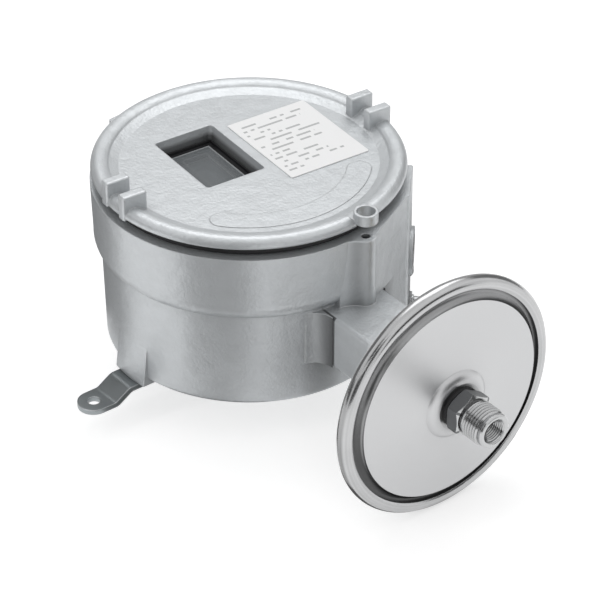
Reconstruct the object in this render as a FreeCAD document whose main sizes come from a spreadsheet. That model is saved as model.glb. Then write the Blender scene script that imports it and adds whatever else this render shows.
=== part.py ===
import FreeCAD, Part
import math
import os
import Sketcher

# Differential pressure switch with a cast screw-lid housing and a dished diaphragm chamber on an arm.
# Millimetres. +Z is up from the mounting plane of the feet, +X runs out along the process connection,
# and the origin lies on the housing axis in the mounting plane.

DRIVING = (
    # Mounting feet
    ("strap_thickness", 3.0),
    ("strap_width", 18.0),
    ("strap_step", 5.7),
    ("foot_hole_reach", 106.0),
    ("foot_hole_radius", 3.5),
    ("strap_bend_reach", 96.0),
    ("strap_bend_run", 7.5),
    ("strap_bend_radius", 4.0),
    ("strap_seat_length", 25.0),
    ("foot_boss_height", 2.6),
    ("foot_boss_width", 25.6),
    ("foot_boss_reach", 84.5),
    ("foot_boss_length", 26.0),
    ("foot_boss_flare", 3.4),
    ("foot_boss_rise", 27.0),
    ("foot_screw_reach", 73.0),
    ("foot_screw_radius", 3.0),
    ("foot_screw_length", 14.0),
    ("foot_screw_head_radius", 5.0),
    ("foot_screw_head_height", 3.2),
    # Cast housing
    ("body_bottom_radius", 79.6),
    ("body_step_radius", 80.8),
    ("body_shoulder_radius", 84.7),
    ("body_top_radius", 85.6),
    ("body_bottom_round", 2.5),
    ("shoulder_height", 62.2),
    ("shoulder_drop", 5.3),
    ("shoulder_rise", 3.3),
    ("shoulder_round", 9.0),
    ("body_height", 95.8),
    ("floor_thickness", 10.2),
    ("cavity_radius", 73.5),
    ("cavity_round", 6.0),
    ("lid_thread_radius", 76.0),
    ("lid_thread_depth", 15.0),
    # Arm that carries the diaphragm chamber
    ("axis_height", 43.2),
    ("arm_width", 39.0),
    ("arm_depth", 32.0),
    ("arm_drop", 6.9),
    ("arm_offset", 6.7),
    ("arm_reach", 138.0),
    ("arm_root", 75.5),
    ("arm_edge_round", 2.5),
    ("arm_fillet", 12.0),
    ("arm_root_step", 0.4),
    ("rod_channel_radius", 8.0),
    ("stem_socket_radius", 10.5),
    ("stem_socket_depth", 12.0),
    # Lid lock, cable entries and earth point
    ("lock_azimuth", 7.0),
    ("lock_reach", 87.3),
    ("ear_radius", 5.8),
    ("ear_flare", 14.0),
    ("saddle_step", 0.8),
    ("saddle_start", 29.0),
    ("saddle_width", 44.0),
    ("lock_hole_radius", 2.5),
    ("lock_hole_depth", 22.0),
    ("entry_azimuth", 47.0),
    ("entry_reach", 87.4),
    ("entry_width", 31.4),
    ("entry_drop", 86.0),
    ("entry_height", 51.2),
    ("entry_boss_radius", 13.5),
    ("entry_boss_rise", 2.0),
    ("rear_entry_azimuth", 187.0),
    ("rear_entry_reach", 94.5),
    ("rear_entry_width", 34.0),
    ("rear_entry_drop", 62.0),
    ("entry_thread_radius", 9.25),
    ("entry_plug_length", 10.0),
    ("plug_socket_radius", 5.0),
    ("plug_socket_depth", 5.0),
    ("pad_edge_round", 1.5),
    ("earth_height", 17.2),
    ("earth_screw_radius", 2.0),
    ("earth_screw_length", 9.0),
    ("earth_head_radius", 3.4),
    ("earth_head_height", 3.0),
    ("earth_clamp_width", 9.0),
    ("earth_clamp_height", 11.0),
    ("earth_clamp_thickness", 1.6),
    ("earth_washer_radius", 4.4),
    ("earth_washer_thickness", 1.0),
    # Screw lid
    ("lid_clocking", -4.0),
    ("lid_gap", 5.4),
    ("lid_radius", 85.0),
    ("rim_tube", 4.4),
    ("rim_lift", 1.9),
    ("rim_foot_round", 1.6),
    ("rim_inner_radius", 75.8),
    ("rim_inner_height", 4.0),
    ("plate_radius", 70.0),
    ("plate_rise", 2.0),
    ("plate_thickness", 8.0),
    ("skirt_depth", 12.5),
    ("skirt_wall", 8.2),
    ("lid_thread_clearance", 0.3),
    ("seal_clearance", 0.2),
    ("lug_length", 14.5),
    ("lug_reach", 85.0),
    ("lug_thickness", 6.0),
    ("lug_slot", 11.0),
    ("lug_top", 12.1),
    ("lug_round", 1.2),
    ("lock_boss_radius", 6.5),
    ("lock_boss_top", 8.1),
    ("lock_boss_lift", 4.0),
    ("lock_clear_radius", 5.0),
    ("kidney_inner_radius", 53.0),
    ("kidney_outer_radius", 66.0),
    ("kidney_rise", 0.4),
    ("kidney_start", -46.5),
    ("kidney_sweep", 96.0),
    # Window in the lid, placed from the lid centre
    ("window_x", -16.3),
    ("window_y", -14.8),
    ("window_length", 54.0),
    ("window_width", 36.5),
    ("window_draft", 1.5),
    ("window_corner", 2.0),
    ("glass_length", 60.0),
    ("glass_width", 43.0),
    ("glass_thickness", 7.0),
    ("gasket_thickness", 1.0),
    ("gasket_overlap", 1.2),
    ("frame_wall", 5.0),
    ("frame_lip", 3.0),
    ("frame_sight_length", 50.0),
    ("frame_sight_width", 33.0),
    ("frame_screw_inset", 2.7),
    ("frame_screw_radius", 1.5),
    ("frame_screw_bite", 5.0),
    ("frame_screw_head_radius", 2.2),
    ("frame_screw_head_height", 1.8),
    ("rating_x", -4.5),
    ("rating_y", 34.4),
    ("rating_length", 64.0),
    ("rating_width", 50.0),
    ("rating_thickness", 0.5),
    # Diaphragm chamber
    ("chamber_offset", 26.2),
    ("chamber_radius", 68.6),
    ("bead_tube", 4.3),
    ("dish_sheet", 1.5),
    ("membrane", 0.8),
    ("flange_lap", 2.3),
    ("rim_width", 10.4),
    ("pan_flank", 11.5),
    ("front_shoulder", 3.6),
    ("front_crown", 9.8),
    ("front_boss_radius", 19.5),
    ("front_boss_lip_radius", 13.4),
    ("front_boss_rise", 3.3),
    ("stem_flange_length", 12.0),
    ("stem_flange_radius", 12.6),
    ("stem_nose_radius", 9.0),
    ("stem_nose_length", 5.5),
    ("stem_nut_radius", 14.0),
    ("fit_gap", 0.03),
    ("cut_overrun", 1.0),
    ("centre_plate_margin", 4.0),
    ("roll_width", 9.0),
    ("roll_margin", 4.5),
    ("roll_depth", 2.2),
    ("rod_radius", 3.0),
    ("rod_running_gap", 0.06),
    ("rod_nut_radius", 6.0),
    ("rod_nut_height", 3.4),
    ("guide_offset", 75.0),
    ("guide_length", 10.0),
    # Process connection and low pressure nipple
    ("stud_radius", 10.0),
    ("washer_thickness", 2.2),
    ("washer_radius", 11.4),
    ("hex_radius", 12.7),
    ("hex_length", 8.5),
    ("relief_radius", 8.7),
    ("relief_length", 1.2),
    ("process_thread_radius", 10.4775),
    ("process_thread_length", 15.6),
    ("process_chamfer", 1.4),
    ("process_bore_radius", 5.72),
    ("process_bore_depth", 14.0),
    ("process_duct_radius", 2.5),
    ("process_nut_rim", 1.8),
    ("process_nut_height", 4.6),
    ("nipple_margin", 14.7),
    ("nipple_stud_radius", 5.0),
    ("nipple_hex_radius", 8.0),
    ("nipple_hex_length", 7.0),
    ("nipple_spigot_radius", 3.0),
    ("nipple_spigot_length", 16.0),
    ("nipple_elbow_radius", 5.5),
    ("nipple_neck", 2.5),
    ("nipple_relief_radius", 2.6),
    ("nipple_relief_length", 1.5),
    ("nipple_duct_radius", 1.8),
    ("nipple_nut_height", 3.4),
    # Switching mechanism
    ("post_radius", 5.0),
    ("post_height", 6.5),
    ("post_x", 42.0),
    ("post_y", 28.0),
    ("chassis_length", 100.0),
    ("chassis_width", 70.0),
    ("chassis_thickness", 3.0),
    ("chassis_screw_radius", 2.0),
    ("chassis_screw_bite", 5.0),
    ("small_head_radius", 3.5),
    ("small_head_height", 2.4),
    ("pivot_x", 30.0),
    ("lever_arm", 16.5),
    ("lever_thickness", 4.0),
    ("lever_width", 16.0),
    ("lever_hub_radius", 4.4),
    ("lever_top", 44.0),
    ("lever_flag_bottom", 20.0),
    ("lever_flag_right", 16.0),
    ("lever_flag_left", 22.0),
    ("pin_radius", 2.0),
    ("pin_overhang", 1.2),
    ("ear_plate", 3.0),
    ("ear_gap", 0.3),
    ("bracket_foot", 2.0),
    ("bracket_length", 20.0),
    ("bracket_wing", 8.0),
    ("contact_gap", 0.3),
    ("spring_y", -14.0),
    ("spring_height", 34.0),
    ("spring_mean_radius", 6.3),
    ("spring_wire_radius", 0.9),
    ("spring_turns", 9.0),
    ("spring_length", 40.0),
    ("nut_thickness", 6.0),
    ("nut_side", 17.0),
    ("spindle_radius", 3.0),
    ("spindle_tail", 24.0),
    ("spindle_bracket_x", -37.5),
    ("spindle_bracket_thickness", 4.0),
    ("spindle_bracket_width", 24.0),
    ("spindle_bracket_crown", 9.0),
    ("spindle_foot_length", 14.0),
    ("spindle_collar_radius", 5.0),
    ("spindle_collar_length", 2.5),
    ("spindle_head_radius", 6.5),
    ("spindle_head_length", 6.0),
    ("spindle_slot_width", 1.6),
    ("scale_height", 12.0),
    ("scale_thickness", 1.5),
    ("scale_left", -48.0),
    ("scale_length", 66.0),
    ("scale_width", 40.0),
    ("scale_y", -15.0),
    ("pointer_width", 2.0),
    ("pointer_rise", 1.4),
    ("pointer_blade_thickness", 0.8),
    ("pointer_blade_length", 18.0),
    ("pointer_slot_clearance", 0.4),
    ("nut_travel", 18.0),
    ("scale_post_radius", 3.0),
    ("scale_post_inset", 3.5),
    ("scale_post_run", 14.0),
    ("switch_y", 9.0),
    ("switch_lift", 22.0),
    ("switch_length", 28.0),
    ("switch_width", 10.0),
    ("switch_height", 17.0),
    ("plunger_radius", 1.5),
    ("plunger_stroke_gap", 5.6),
    ("plunger_depth", 4.0),
    ("switch_plate", 2.5),
    ("switch_plate_length", 22.0),
    ("switch_foot_width", 11.0),
    ("switch_screw_radius", 1.4),
    ("switch_screw_spread", 14.0),
    ("terminal_x", -20.8),
    ("terminal_y", 30.0),
    ("terminal_length", 34.0),
    ("terminal_width", 16.0),
    ("terminal_height", 17.0),
    ("terminal_pitch", 10.0),
    ("terminal_screw_radius", 2.6),
    ("terminal_well_depth", 6.0),
    ("terminal_wire_radius", 2.2),
)

DOC = FreeCAD.newDocument("differential_pressure_switch")
NODES = []


class Size:
    """A dimension that keeps its value together with its spreadsheet formula."""

    def __init__(self, value, formula):
        self.value = float(value)
        self.formula = formula

    @staticmethod
    def of(other):
        return other if isinstance(other, Size) else Size(other, repr(float(other)))

    def joined(self, sign, other, value):
        return Size(value, "(%s %s %s)" % (self.formula, sign, other.formula))

    def __add__(self, other):
        other = Size.of(other)
        return self.joined("+", other, self.value + other.value)

    def __sub__(self, other):
        other = Size.of(other)
        return self.joined("-", other, self.value - other.value)

    def __mul__(self, other):
        other = Size.of(other)
        return self.joined("*", other, self.value * other.value)

    def __truediv__(self, other):
        other = Size.of(other)
        return self.joined("/", other, self.value / other.value)

    def __rsub__(self, other):
        return Size.of(other) - self

    def __neg__(self):
        return Size.of(0) - self

    def root(self):
        return Size(math.sqrt(self.value), "sqrt(%s)" % self.formula)

    __radd__ = __add__
    __rmul__ = __mul__


class Sizes:
    """The driving dimensions, held in a spreadsheet and read by name."""

    def __init__(self, rows):
        self.sheet = DOC.addObject("Spreadsheet::Sheet", "Sizes")
        for row, (name, value) in enumerate(rows, start=1):
            self.sheet.set("A%d" % row, name)
            self.sheet.set("B%d" % row, str(value))
            self.sheet.setAlias("B%d" % row, name)
        DOC.recompute()

    def __getattr__(self, name):
        return Size(self.sheet.get(name), "Sizes." + name)


S = Sizes(DRIVING)
ZERO = Size.of(0)

# Levels above the mounting plane
SEAT = S.strap_step + S.strap_thickness
BODY = SEAT + S.foot_boss_height
FLOOR = BODY + S.floor_thickness
SHOULDER = BODY + S.shoulder_height
ARM_TOP = SHOULDER - S.arm_drop
ARM_FOOT = ARM_TOP - S.arm_depth
LEDGE = BODY + S.body_height
AXIS = BODY + S.axis_height
RIM_FOOT = LEDGE + S.lid_gap
RIM_MID = RIM_FOOT + S.rim_lift
RIM_TOP = RIM_MID + S.rim_tube
PLATE_TOP = RIM_FOOT + S.plate_rise
PLATE_BASE = PLATE_TOP - S.plate_thickness
CHASSIS = FLOOR + S.post_height
DECK = CHASSIS + S.chassis_thickness
PIVOT = AXIS - S.lever_arm
SPINDLE = PIVOT + S.spring_height
PLUNGER = PIVOT + S.switch_lift
SCALE = SPINDLE + S.scale_height

# Stations along the process connection
ARM_END = S.arm_reach
PAN_BACK = ARM_END + S.stem_flange_length
CHAMBER = ARM_END + S.chamber_offset
MEMBRANE_BACK = CHAMBER - S.membrane / 2
MEMBRANE_FRONT = CHAMBER + S.membrane / 2
CROWN = CHAMBER + S.front_crown
LIP = CROWN + S.front_boss_rise
HEX_BACK = LIP + S.washer_thickness
HEX_FRONT = HEX_BACK + S.hex_length
PROCESS_END = HEX_FRONT + S.relief_length + S.process_thread_length

# Radii that follow a neighbour
FLANGE_RADIUS = S.chamber_radius - S.flange_lap
PAN_RADIUS = S.chamber_radius - S.rim_width
PAN_FLOOR_RADIUS = PAN_RADIUS - S.pan_flank
ROLL_OUTER_RADIUS = PAN_RADIUS - S.roll_margin
ROLL_INNER_RADIUS = ROLL_OUTER_RADIUS - S.roll_width
CENTRE_PLATE_RADIUS = ROLL_INNER_RADIUS - S.centre_plate_margin
NIPPLE_REACH = PAN_FLOOR_RADIUS - S.nipple_margin
SKIRT_RADIUS = S.lid_thread_radius - S.lid_thread_clearance
SKIRT_INNER_RADIUS = SKIRT_RADIUS - S.skirt_wall

# Place of the low pressure nipple behind the chamber, clear of the arm
NIPPLE_Y = NIPPLE_REACH * 0.5
NIPPLE_Z = AXIS + NIPPLE_REACH * math.sqrt(0.75)

# Faces of the switching lever
LEVER_FRONT = S.pivot_x + S.lever_thickness / 2
LEVER_BACK = S.pivot_x - S.lever_thickness / 2
NUT_FRONT = LEVER_BACK - S.spring_length
NUT_BACK = NUT_FRONT - S.nut_thickness
SWITCH_FRONT = LEVER_BACK - S.plunger_stroke_gap

TURN = {
    "X": FreeCAD.Rotation(FreeCAD.Vector(0, 1, 0), 90),
    "Y": FreeCAD.Rotation(FreeCAD.Vector(1, 0, 0), -90),
    "Z": FreeCAD.Rotation(),
}


def bind(thing, path, size):
    thing.setExpression(path, Size.of(size).formula)


def place(thing, at, rotation=None):
    at = [Size.of(coordinate) for coordinate in at]
    base = FreeCAD.Vector(*[coordinate.value for coordinate in at])
    thing.Placement = FreeCAD.Placement(base, rotation or FreeCAD.Rotation())
    for axis, coordinate in zip("xyz", at):
        bind(thing, "Placement.Base." + axis, coordinate)
    return thing


def box(name, extent, at):
    solid = DOC.addObject("Part::Box", name)
    for side, size in zip(("Length", "Width", "Height"), extent):
        bind(solid, side, size)
    return place(solid, at)


def centred_box(name, extent, at):
    """A box whose centre in X and Y, and whose base in Z, is at the point given."""
    length, width, height = [Size.of(size) for size in extent]
    return box(name, (length, width, height), (at[0] - length / 2, at[1] - width / 2, at[2]))


def cylinder(name, radius, height, at, along="Z"):
    solid = DOC.addObject("Part::Cylinder", name)
    bind(solid, "Radius", radius)
    bind(solid, "Height", height)
    return place(solid, at, TURN[along])


def cone(name, foot_radius, top_radius, height, at):
    solid = DOC.addObject("Part::Cone", name)
    bind(solid, "Radius1", foot_radius)
    bind(solid, "Radius2", top_radius)
    bind(solid, "Height", height)
    return place(solid, at)


def prism(name, radius, height, at, along="Z"):
    solid = DOC.addObject("Part::Prism", name)
    solid.Polygon = 6
    bind(solid, "Circumradius", radius)
    bind(solid, "Height", height)
    return place(solid, at, TURN[along])


def fuse(name, solids):
    union = DOC.addObject("Part::MultiFuse", name)
    union.Shapes = solids
    union.Refine = True
    return union


def cut(name, base, tools):
    tool = tools[0] if len(tools) == 1 else fuse(name + "_tools", tools)
    result = DOC.addObject("Part::Cut", name)
    result.Base = base
    result.Tool = tool
    result.Refine = True
    return result


def group(name, solids):
    """Separate identical solids that share one node."""
    compound = DOC.addObject("Part::Compound", name)
    compound.Links = solids
    return compound


def turned(thing, angle):
    """Turn a finished solid about the housing axis."""
    thing.Placement = FreeCAD.Placement(
        FreeCAD.Vector(), FreeCAD.Rotation(FreeCAD.Vector(0, 0, 1), Size.of(angle).value))
    bind(thing, "Placement.Rotation.Angle", angle)
    return thing


def swung(name, thing, angle):
    """A copy of a solid carried round the housing axis."""
    return turned(group(name, [thing]), angle)


def rounded(name, base, radius, wanted):
    """Round the edges of a solid that the test picks."""
    DOC.recompute()
    picks = [number for number, edge in enumerate(base.Shape.Edges, start=1) if wanted(edge)]
    solid = DOC.addObject("Part::Fillet", name)
    solid.Base = base
    solid.Edges = [(number, radius.value, radius.value) for number in picks]
    return solid


def runs_along(edge, direction):
    start, end = [vertex.Point for vertex in edge.Vertexes]
    return abs((end - start).normalize().dot(direction)) > 0.999


def climbs(edge):
    """Whether an edge joins two levels."""
    low, high = [vertex.Point.z for vertex in edge.Vertexes]
    return abs(high - low) > 1e-6


def lies_on(edge, spots):
    """Whether an edge along X passes through one of the (y, z) points."""
    middle = edge.CenterOfMass
    return any(math.hypot(middle.y - y.value, middle.z - z.value) < 1e-6 for y, z in spots)


def plane_of(body, role):
    return [feature for feature in body.Origin.OriginFeatures if feature.Role == role][0]


def arc_between(start, end, radius):
    """An arc with its centre on the left of the way from start to end for a positive radius."""
    chord = end - start
    left = FreeCAD.Vector(-chord.y, chord.x, 0).normalize()
    rise = math.sqrt(max(radius ** 2 - (chord.Length / 2) ** 2, 0.0))
    middle = (start + end) / 2
    centre = middle + left * math.copysign(rise, radius)
    crest = centre - left * math.copysign(abs(radius), radius)
    return Part.Arc(start, crest, end)


def outline(sketch, points):
    """Close a profile through points of (x, y) or, for an arc to the point, (x, y, radius)."""
    spots = [FreeCAD.Vector(Size.of(point[0]).value, Size.of(point[1]).value, 0) for point in points]
    ends = []
    for number, spot in enumerate(spots):
        follower = points[(number + 1) % len(points)]
        target = spots[(number + 1) % len(points)]
        if len(follower) == 3:
            edge = sketch.addGeometry(arc_between(spot, target, Size.of(follower[2]).value), False)
            forward = sketch.getPoint(edge, 1).distanceToPoint(spot) < 1e-6
            turn = sketch.addConstraint(Sketcher.Constraint("Radius", edge, abs(follower[2].value)))
            sign = follower[2] if follower[2].value > 0 else -follower[2]
            bind(sketch, "Constraints[%d]" % turn, sign)
        else:
            edge = sketch.addGeometry(Part.LineSegment(spot, target), False)
            forward = True
        ends.append((edge, 1, 2) if forward else (edge, 2, 1))
    for number, (edge, first, _) in enumerate(ends):
        before, _, last = ends[number - 1]
        sketch.addConstraint(Sketcher.Constraint("Coincident", before, last, edge, first))
        for axis, kind, line in ((0, "DistanceX", -2), (1, "DistanceY", -1)):
            size = Size.of(points[number][axis])
            if size.value == 0:
                sketch.addConstraint(Sketcher.Constraint("PointOnObject", edge, first, line))
            else:
                spot = sketch.addConstraint(Sketcher.Constraint(kind, -1, 1, edge, first, size.value))
                bind(sketch, "Constraints[%d]" % spot, size)


def body_with_sketch(name, role, points):
    body = DOC.addObject("PartDesign::Body", name)
    sketch = body.newObject("Sketcher::SketchObject", name + "_profile")
    sketch.AttachmentSupport = [(plane_of(body, role), "")]
    sketch.MapMode = "FlatFace"
    outline(sketch, points)
    return body, sketch


def revolved(name, points, about="Z", height=ZERO):
    """Spin a profile of (radius, z) about Z, or of (x, radius) about a line along X."""
    body, sketch = body_with_sketch(name, "XZ_Plane", points)
    spin = body.newObject("PartDesign::Revolution", name + "_spin")
    spin.Profile = sketch
    spin.ReferenceAxis = (sketch, ["V_Axis" if about == "Z" else "H_Axis"])
    spin.Angle = 360
    return place(body, (ZERO, ZERO, height))


def padded(name, role, points, depth, at):
    """Push a flat profile out evenly to both sides of its plane."""
    body, sketch = body_with_sketch(name, role, points)
    pad = body.newObject("PartDesign::Pad", name + "_pad")
    pad.Profile = sketch
    pad.Midplane = True
    bind(pad, "Length", depth)
    return place(body, at)


def node(thing):
    NODES.append(thing)
    return thing


def screw(name, shank_radius, shank_length, head_radius, head_height, at, along="Z", flip=False):
    """A headed screw whose head seats at the point given, with the shank running back from it."""
    x, y, z = [Size.of(coordinate) for coordinate in at]
    step = {"X": (1, 0, 0), "Y": (0, 1, 0), "Z": (0, 0, 1)}[along]
    shank_back, head_back = (0, -1) if flip else (-1, 0)
    shank_at = [c + shank_length * (shank_back * s) for c, s in zip((x, y, z), step)]
    head_at = [c + head_height * (head_back * s) for c, s in zip((x, y, z), step)]
    shank = cylinder(name + "_shank", shank_radius, shank_length, shank_at, along)
    head = cylinder(name + "_head", head_radius, head_height, head_at, along)
    return fuse(name, [shank, head])


def arm_fillet(side):
    """The concave root between the housing wall and one flank of the arm."""
    name = "arm_fillet_" + ("right" if side > 0 else "left")
    flank = S.arm_width / 2 + S.arm_offset * side
    centre_reach = S.body_step_radius + S.arm_fillet
    centre_y = flank + S.arm_root_step + S.arm_fillet
    centre_x = (centre_reach * centre_reach - centre_y * centre_y).root()
    outer_y = centre_y * S.body_step_radius / centre_reach
    wall_middle = (S.cavity_radius + S.body_step_radius) / 2
    start = (wall_middle * wall_middle - outer_y * outer_y).root()
    block = box(name + "_block", (centre_x - start, outer_y - flank, S.arm_depth),
                (start, flank if side > 0 else -outer_y, ARM_FOOT))
    scoop = cylinder(name + "_scoop", S.arm_fillet, S.arm_depth, (centre_x, centre_y * side, ARM_FOOT))
    return cut(name, block, [scoop])


def entry_pad(name, azimuth, reach, width, drop):
    """A flat cast pad with the raised seat of a cable entry, on the housing wall."""
    base = S.lid_thread_radius + S.pad_edge_round
    slab = box(name + "_slab", (reach - base, width, drop), (base, -width / 2, LEDGE - drop))
    upright = FreeCAD.Vector(0, 0, 1)
    soft = rounded(name + "_soft", slab, S.pad_edge_round,
                   lambda edge: runs_along(edge, upright) and edge.CenterOfMass.x > base.value)
    seat = cylinder(name + "_seat", S.entry_boss_radius, reach + S.entry_boss_rise - base,
                    (base, ZERO, BODY + S.entry_height), "X")
    return turned(fuse(name, [soft, seat]), azimuth)


def entry_hole(name, azimuth, reach):
    hole = cylinder(name + "_bore", S.entry_thread_radius, S.lid_radius,
                    (reach + S.entry_boss_rise - S.lid_radius / 2, ZERO, BODY + S.entry_height), "X")
    return swung(name, hole, azimuth)


def build_housing():
    shell = revolved("housing_shell", [
        (ZERO, BODY),
        (S.body_bottom_radius - S.body_bottom_round, BODY),
        (S.body_bottom_radius, BODY + S.body_bottom_round, S.body_bottom_round),
        (S.body_step_radius, SHOULDER - S.shoulder_drop),
        (S.body_shoulder_radius, SHOULDER + S.shoulder_rise, S.shoulder_round),
        (S.body_top_radius, LEDGE),
        (S.lid_thread_radius, LEDGE),
        (S.lid_thread_radius, LEDGE - S.lid_thread_depth),
        (S.cavity_radius, LEDGE - S.lid_thread_depth),
        (S.cavity_radius, FLOOR + S.cavity_round),
        (S.cavity_radius - S.cavity_round, FLOOR, -S.cavity_round),
        (ZERO, FLOOR),
    ])
    beam = box("arm_beam", (ARM_END - S.arm_root, S.arm_width, S.arm_depth),
               (S.arm_root, S.arm_offset - S.arm_width / 2, ARM_FOOT))
    forward = FreeCAD.Vector(1, 0, 0)
    arm = rounded("arm", beam, S.arm_edge_round, lambda edge: runs_along(edge, forward))
    column_foot = ARM_TOP - S.arm_edge_round * 2
    column = cylinder("ear_column", S.ear_radius, LEDGE - column_foot, (S.lock_reach, ZERO, column_foot))
    web_root = S.lid_thread_radius + S.ear_radius / 2
    web = box("ear_web", (S.lock_reach - web_root, S.ear_radius * 2, LEDGE - column_foot),
              (web_root, -S.ear_radius, column_foot))
    wall_reach = S.body_shoulder_radius + S.ear_flare
    column_reach = S.ear_radius + S.ear_flare
    flare_x = (wall_reach * wall_reach - column_reach * column_reach
               + S.lock_reach * S.lock_reach) / (S.lock_reach * 2)
    flare_y = (wall_reach * wall_reach - flare_x * flare_x).root()
    flare_far = S.lock_reach + (flare_x - S.lock_reach) * S.ear_radius / column_reach
    flare_low = flare_y * S.body_shoulder_radius / wall_reach
    flare_block = box("ear_flare_block", (flare_far - web_root, flare_low, LEDGE - column_foot),
                      (web_root, -flare_low, column_foot))
    flare_scoop = cylinder("ear_flare_scoop", S.ear_flare, LEDGE - column_foot,
                           (flare_x, -flare_y, column_foot))
    flare = cut("ear_flare", flare_block, [flare_scoop])
    ear = turned(fuse("ear", [column, web, flare]), S.lock_azimuth)
    saddle_root = S.lid_thread_radius + S.pad_edge_round
    saddle_reach = S.body_top_radius + S.saddle_step
    saddle_block = box("ear_saddle_block", (saddle_reach - saddle_root, S.saddle_width, LEDGE - ARM_FOOT),
                       (saddle_root, -S.saddle_start, ARM_FOOT))
    saddle = swung("ear_saddle", saddle_block, (S.lock_azimuth + S.entry_azimuth) / 2)
    side_pad = entry_pad("side_pad", S.entry_azimuth, S.entry_reach, S.entry_width, S.entry_drop)
    rear_pad = entry_pad("rear_pad", S.rear_entry_azimuth, S.rear_entry_reach, S.rear_entry_width,
                         S.rear_entry_drop)
    wall_middle = (S.cavity_radius + S.body_bottom_radius) / 2
    foot_bosses = []
    foot_holes = []
    for side, word in ((-1, "left"), (1, "right")):
        heel = []
        for part, length, rise in (
                ("sole", S.foot_boss_length, S.foot_boss_height + S.floor_thickness),
                ("cheek", S.foot_boss_reach - wall_middle, S.foot_boss_rise)):
            low = S.foot_boss_reach - length if side > 0 else -S.foot_boss_reach
            heel.append(box("foot_%s_%s" % (part, word), (S.foot_boss_width, length, rise),
                            (-S.foot_boss_width / 2, low, SEAT)))
        boss = DOC.addObject("Part::Common", "foot_boss_" + word)
        boss.Base = fuse("foot_heel_" + word, heel)
        boss.Tool = cone("foot_flush_" + word, S.body_bottom_radius + S.foot_boss_flare,
                         S.body_bottom_radius, S.foot_boss_rise, (ZERO, ZERO, SEAT))
        foot_bosses.append(boss)
        foot_holes.append(cylinder("foot_tapping_" + word, S.foot_screw_radius, S.foot_screw_length,
                                   (ZERO, S.foot_screw_reach * side, SEAT)))
    posts = []
    post_holes = []
    for number, (x, y) in enumerate(((-1, -1), (1, -1), (1, 1), (-1, 1))):
        spot = (S.post_x * x, S.post_y * y)
        posts.append(cylinder("post_%d" % number, S.post_radius, S.post_height + S.floor_thickness / 2,
                              (*spot, FLOOR - S.floor_thickness / 2)))
        depth = S.chassis_screw_bite + S.cut_overrun
        post_holes.append(cylinder("post_tapping_%d" % number, S.chassis_screw_radius, depth,
                                   (*spot, CHASSIS - depth)))
    casting = fuse("housing_casting", [shell, arm, arm_fillet(-1), arm_fillet(1), ear, saddle, side_pad, rear_pad]
                   + foot_bosses + posts)
    channel_start = S.cavity_radius / 2
    channel = cylinder("rod_channel", S.rod_channel_radius, ARM_END - channel_start,
                       (channel_start, ZERO, AXIS), "X")
    socket = cylinder("stem_socket", S.stem_socket_radius, S.stem_socket_depth + S.cut_overrun,
                      (ARM_END - S.stem_socket_depth, ZERO, AXIS), "X")
    lock_bore = cylinder("lock_bore", S.lock_hole_radius, S.lock_hole_depth,
                         (S.lock_reach, ZERO, LEDGE - S.lock_hole_depth))
    earth_bore = cylinder("earth_bore", S.earth_screw_radius, S.earth_screw_length,
                          (S.entry_reach - S.earth_screw_length, ZERO, BODY + S.earth_height), "X")
    node(cut("housing", casting, [
        channel, socket,
        swung("lock_tapping", lock_bore, S.lock_azimuth),
        entry_hole("side_entry", S.entry_azimuth, S.entry_reach),
        entry_hole("rear_entry", S.rear_entry_azimuth, S.rear_entry_reach),
        swung("earth_tapping", earth_bore, S.entry_azimuth),
    ] + foot_holes + post_holes))


def build_feet():
    for side, word in ((-1, "left"), (1, "right")):
        bend_end = S.strap_bend_reach - S.strap_bend_run
        seat_end = bend_end - S.strap_seat_length
        profile = [
            (S.foot_hole_reach + S.strap_width / 2, ZERO),
            (S.foot_hole_reach + S.strap_width / 2, S.strap_thickness),
            (S.strap_bend_reach + S.strap_thickness / 2, S.strap_thickness),
            (bend_end, SEAT),
            (seat_end, SEAT),
            (seat_end, S.strap_step),
            (bend_end - S.strap_thickness / 2, S.strap_step),
            (S.strap_bend_reach, ZERO),
        ]
        blank = padded("strap_bar_" + word, "YZ_Plane", profile, S.strap_width, (ZERO, ZERO, ZERO))
        inside = rounded("strap_inside_" + word, blank, S.strap_bend_radius,
                         lambda edge: lies_on(edge, (profile[2], profile[6])))
        bar = rounded("strap_outside_" + word, inside, S.strap_bend_radius + S.strap_thickness,
                      lambda edge: lies_on(edge, (profile[3], profile[7])))
        tall = SEAT * 2
        end = cylinder("strap_end_" + word, S.strap_width / 2, tall, (ZERO, S.foot_hole_reach, -SEAT / 2))
        inner_end = seat_end - S.cut_overrun
        inner = box("strap_inner_" + word, (S.strap_width, S.foot_hole_reach - inner_end, tall),
                    (-S.strap_width / 2, inner_end, -SEAT / 2))
        trim = fuse("strap_trim_" + word, [end, inner])
        strap = DOC.addObject("Part::Common", "strap_blank_" + word)
        strap.Base = bar
        strap.Tool = trim
        hole = cylinder("strap_hole_" + word, S.foot_hole_radius, tall, (ZERO, S.foot_hole_reach, -SEAT / 2))
        screw_hole = cylinder("strap_screw_hole_" + word, S.foot_screw_radius + S.fit_gap, tall,
                              (ZERO, S.foot_screw_reach, ZERO))
        foot = cut("foot_strap_" + word, strap, [hole, screw_hole])
        node(turned(foot, ZERO if side > 0 else Size.of(180)))
    screws = [screw("foot_screw_" + word, S.foot_screw_radius - S.fit_gap, S.foot_screw_length,
                    S.foot_screw_head_radius, S.foot_screw_head_height,
                    (ZERO, S.foot_screw_reach * side, S.strap_step), "Z", flip=True)
              for side, word in ((-1, "left"), (1, "right"))]
    node(group("foot_screws", screws))


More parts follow.
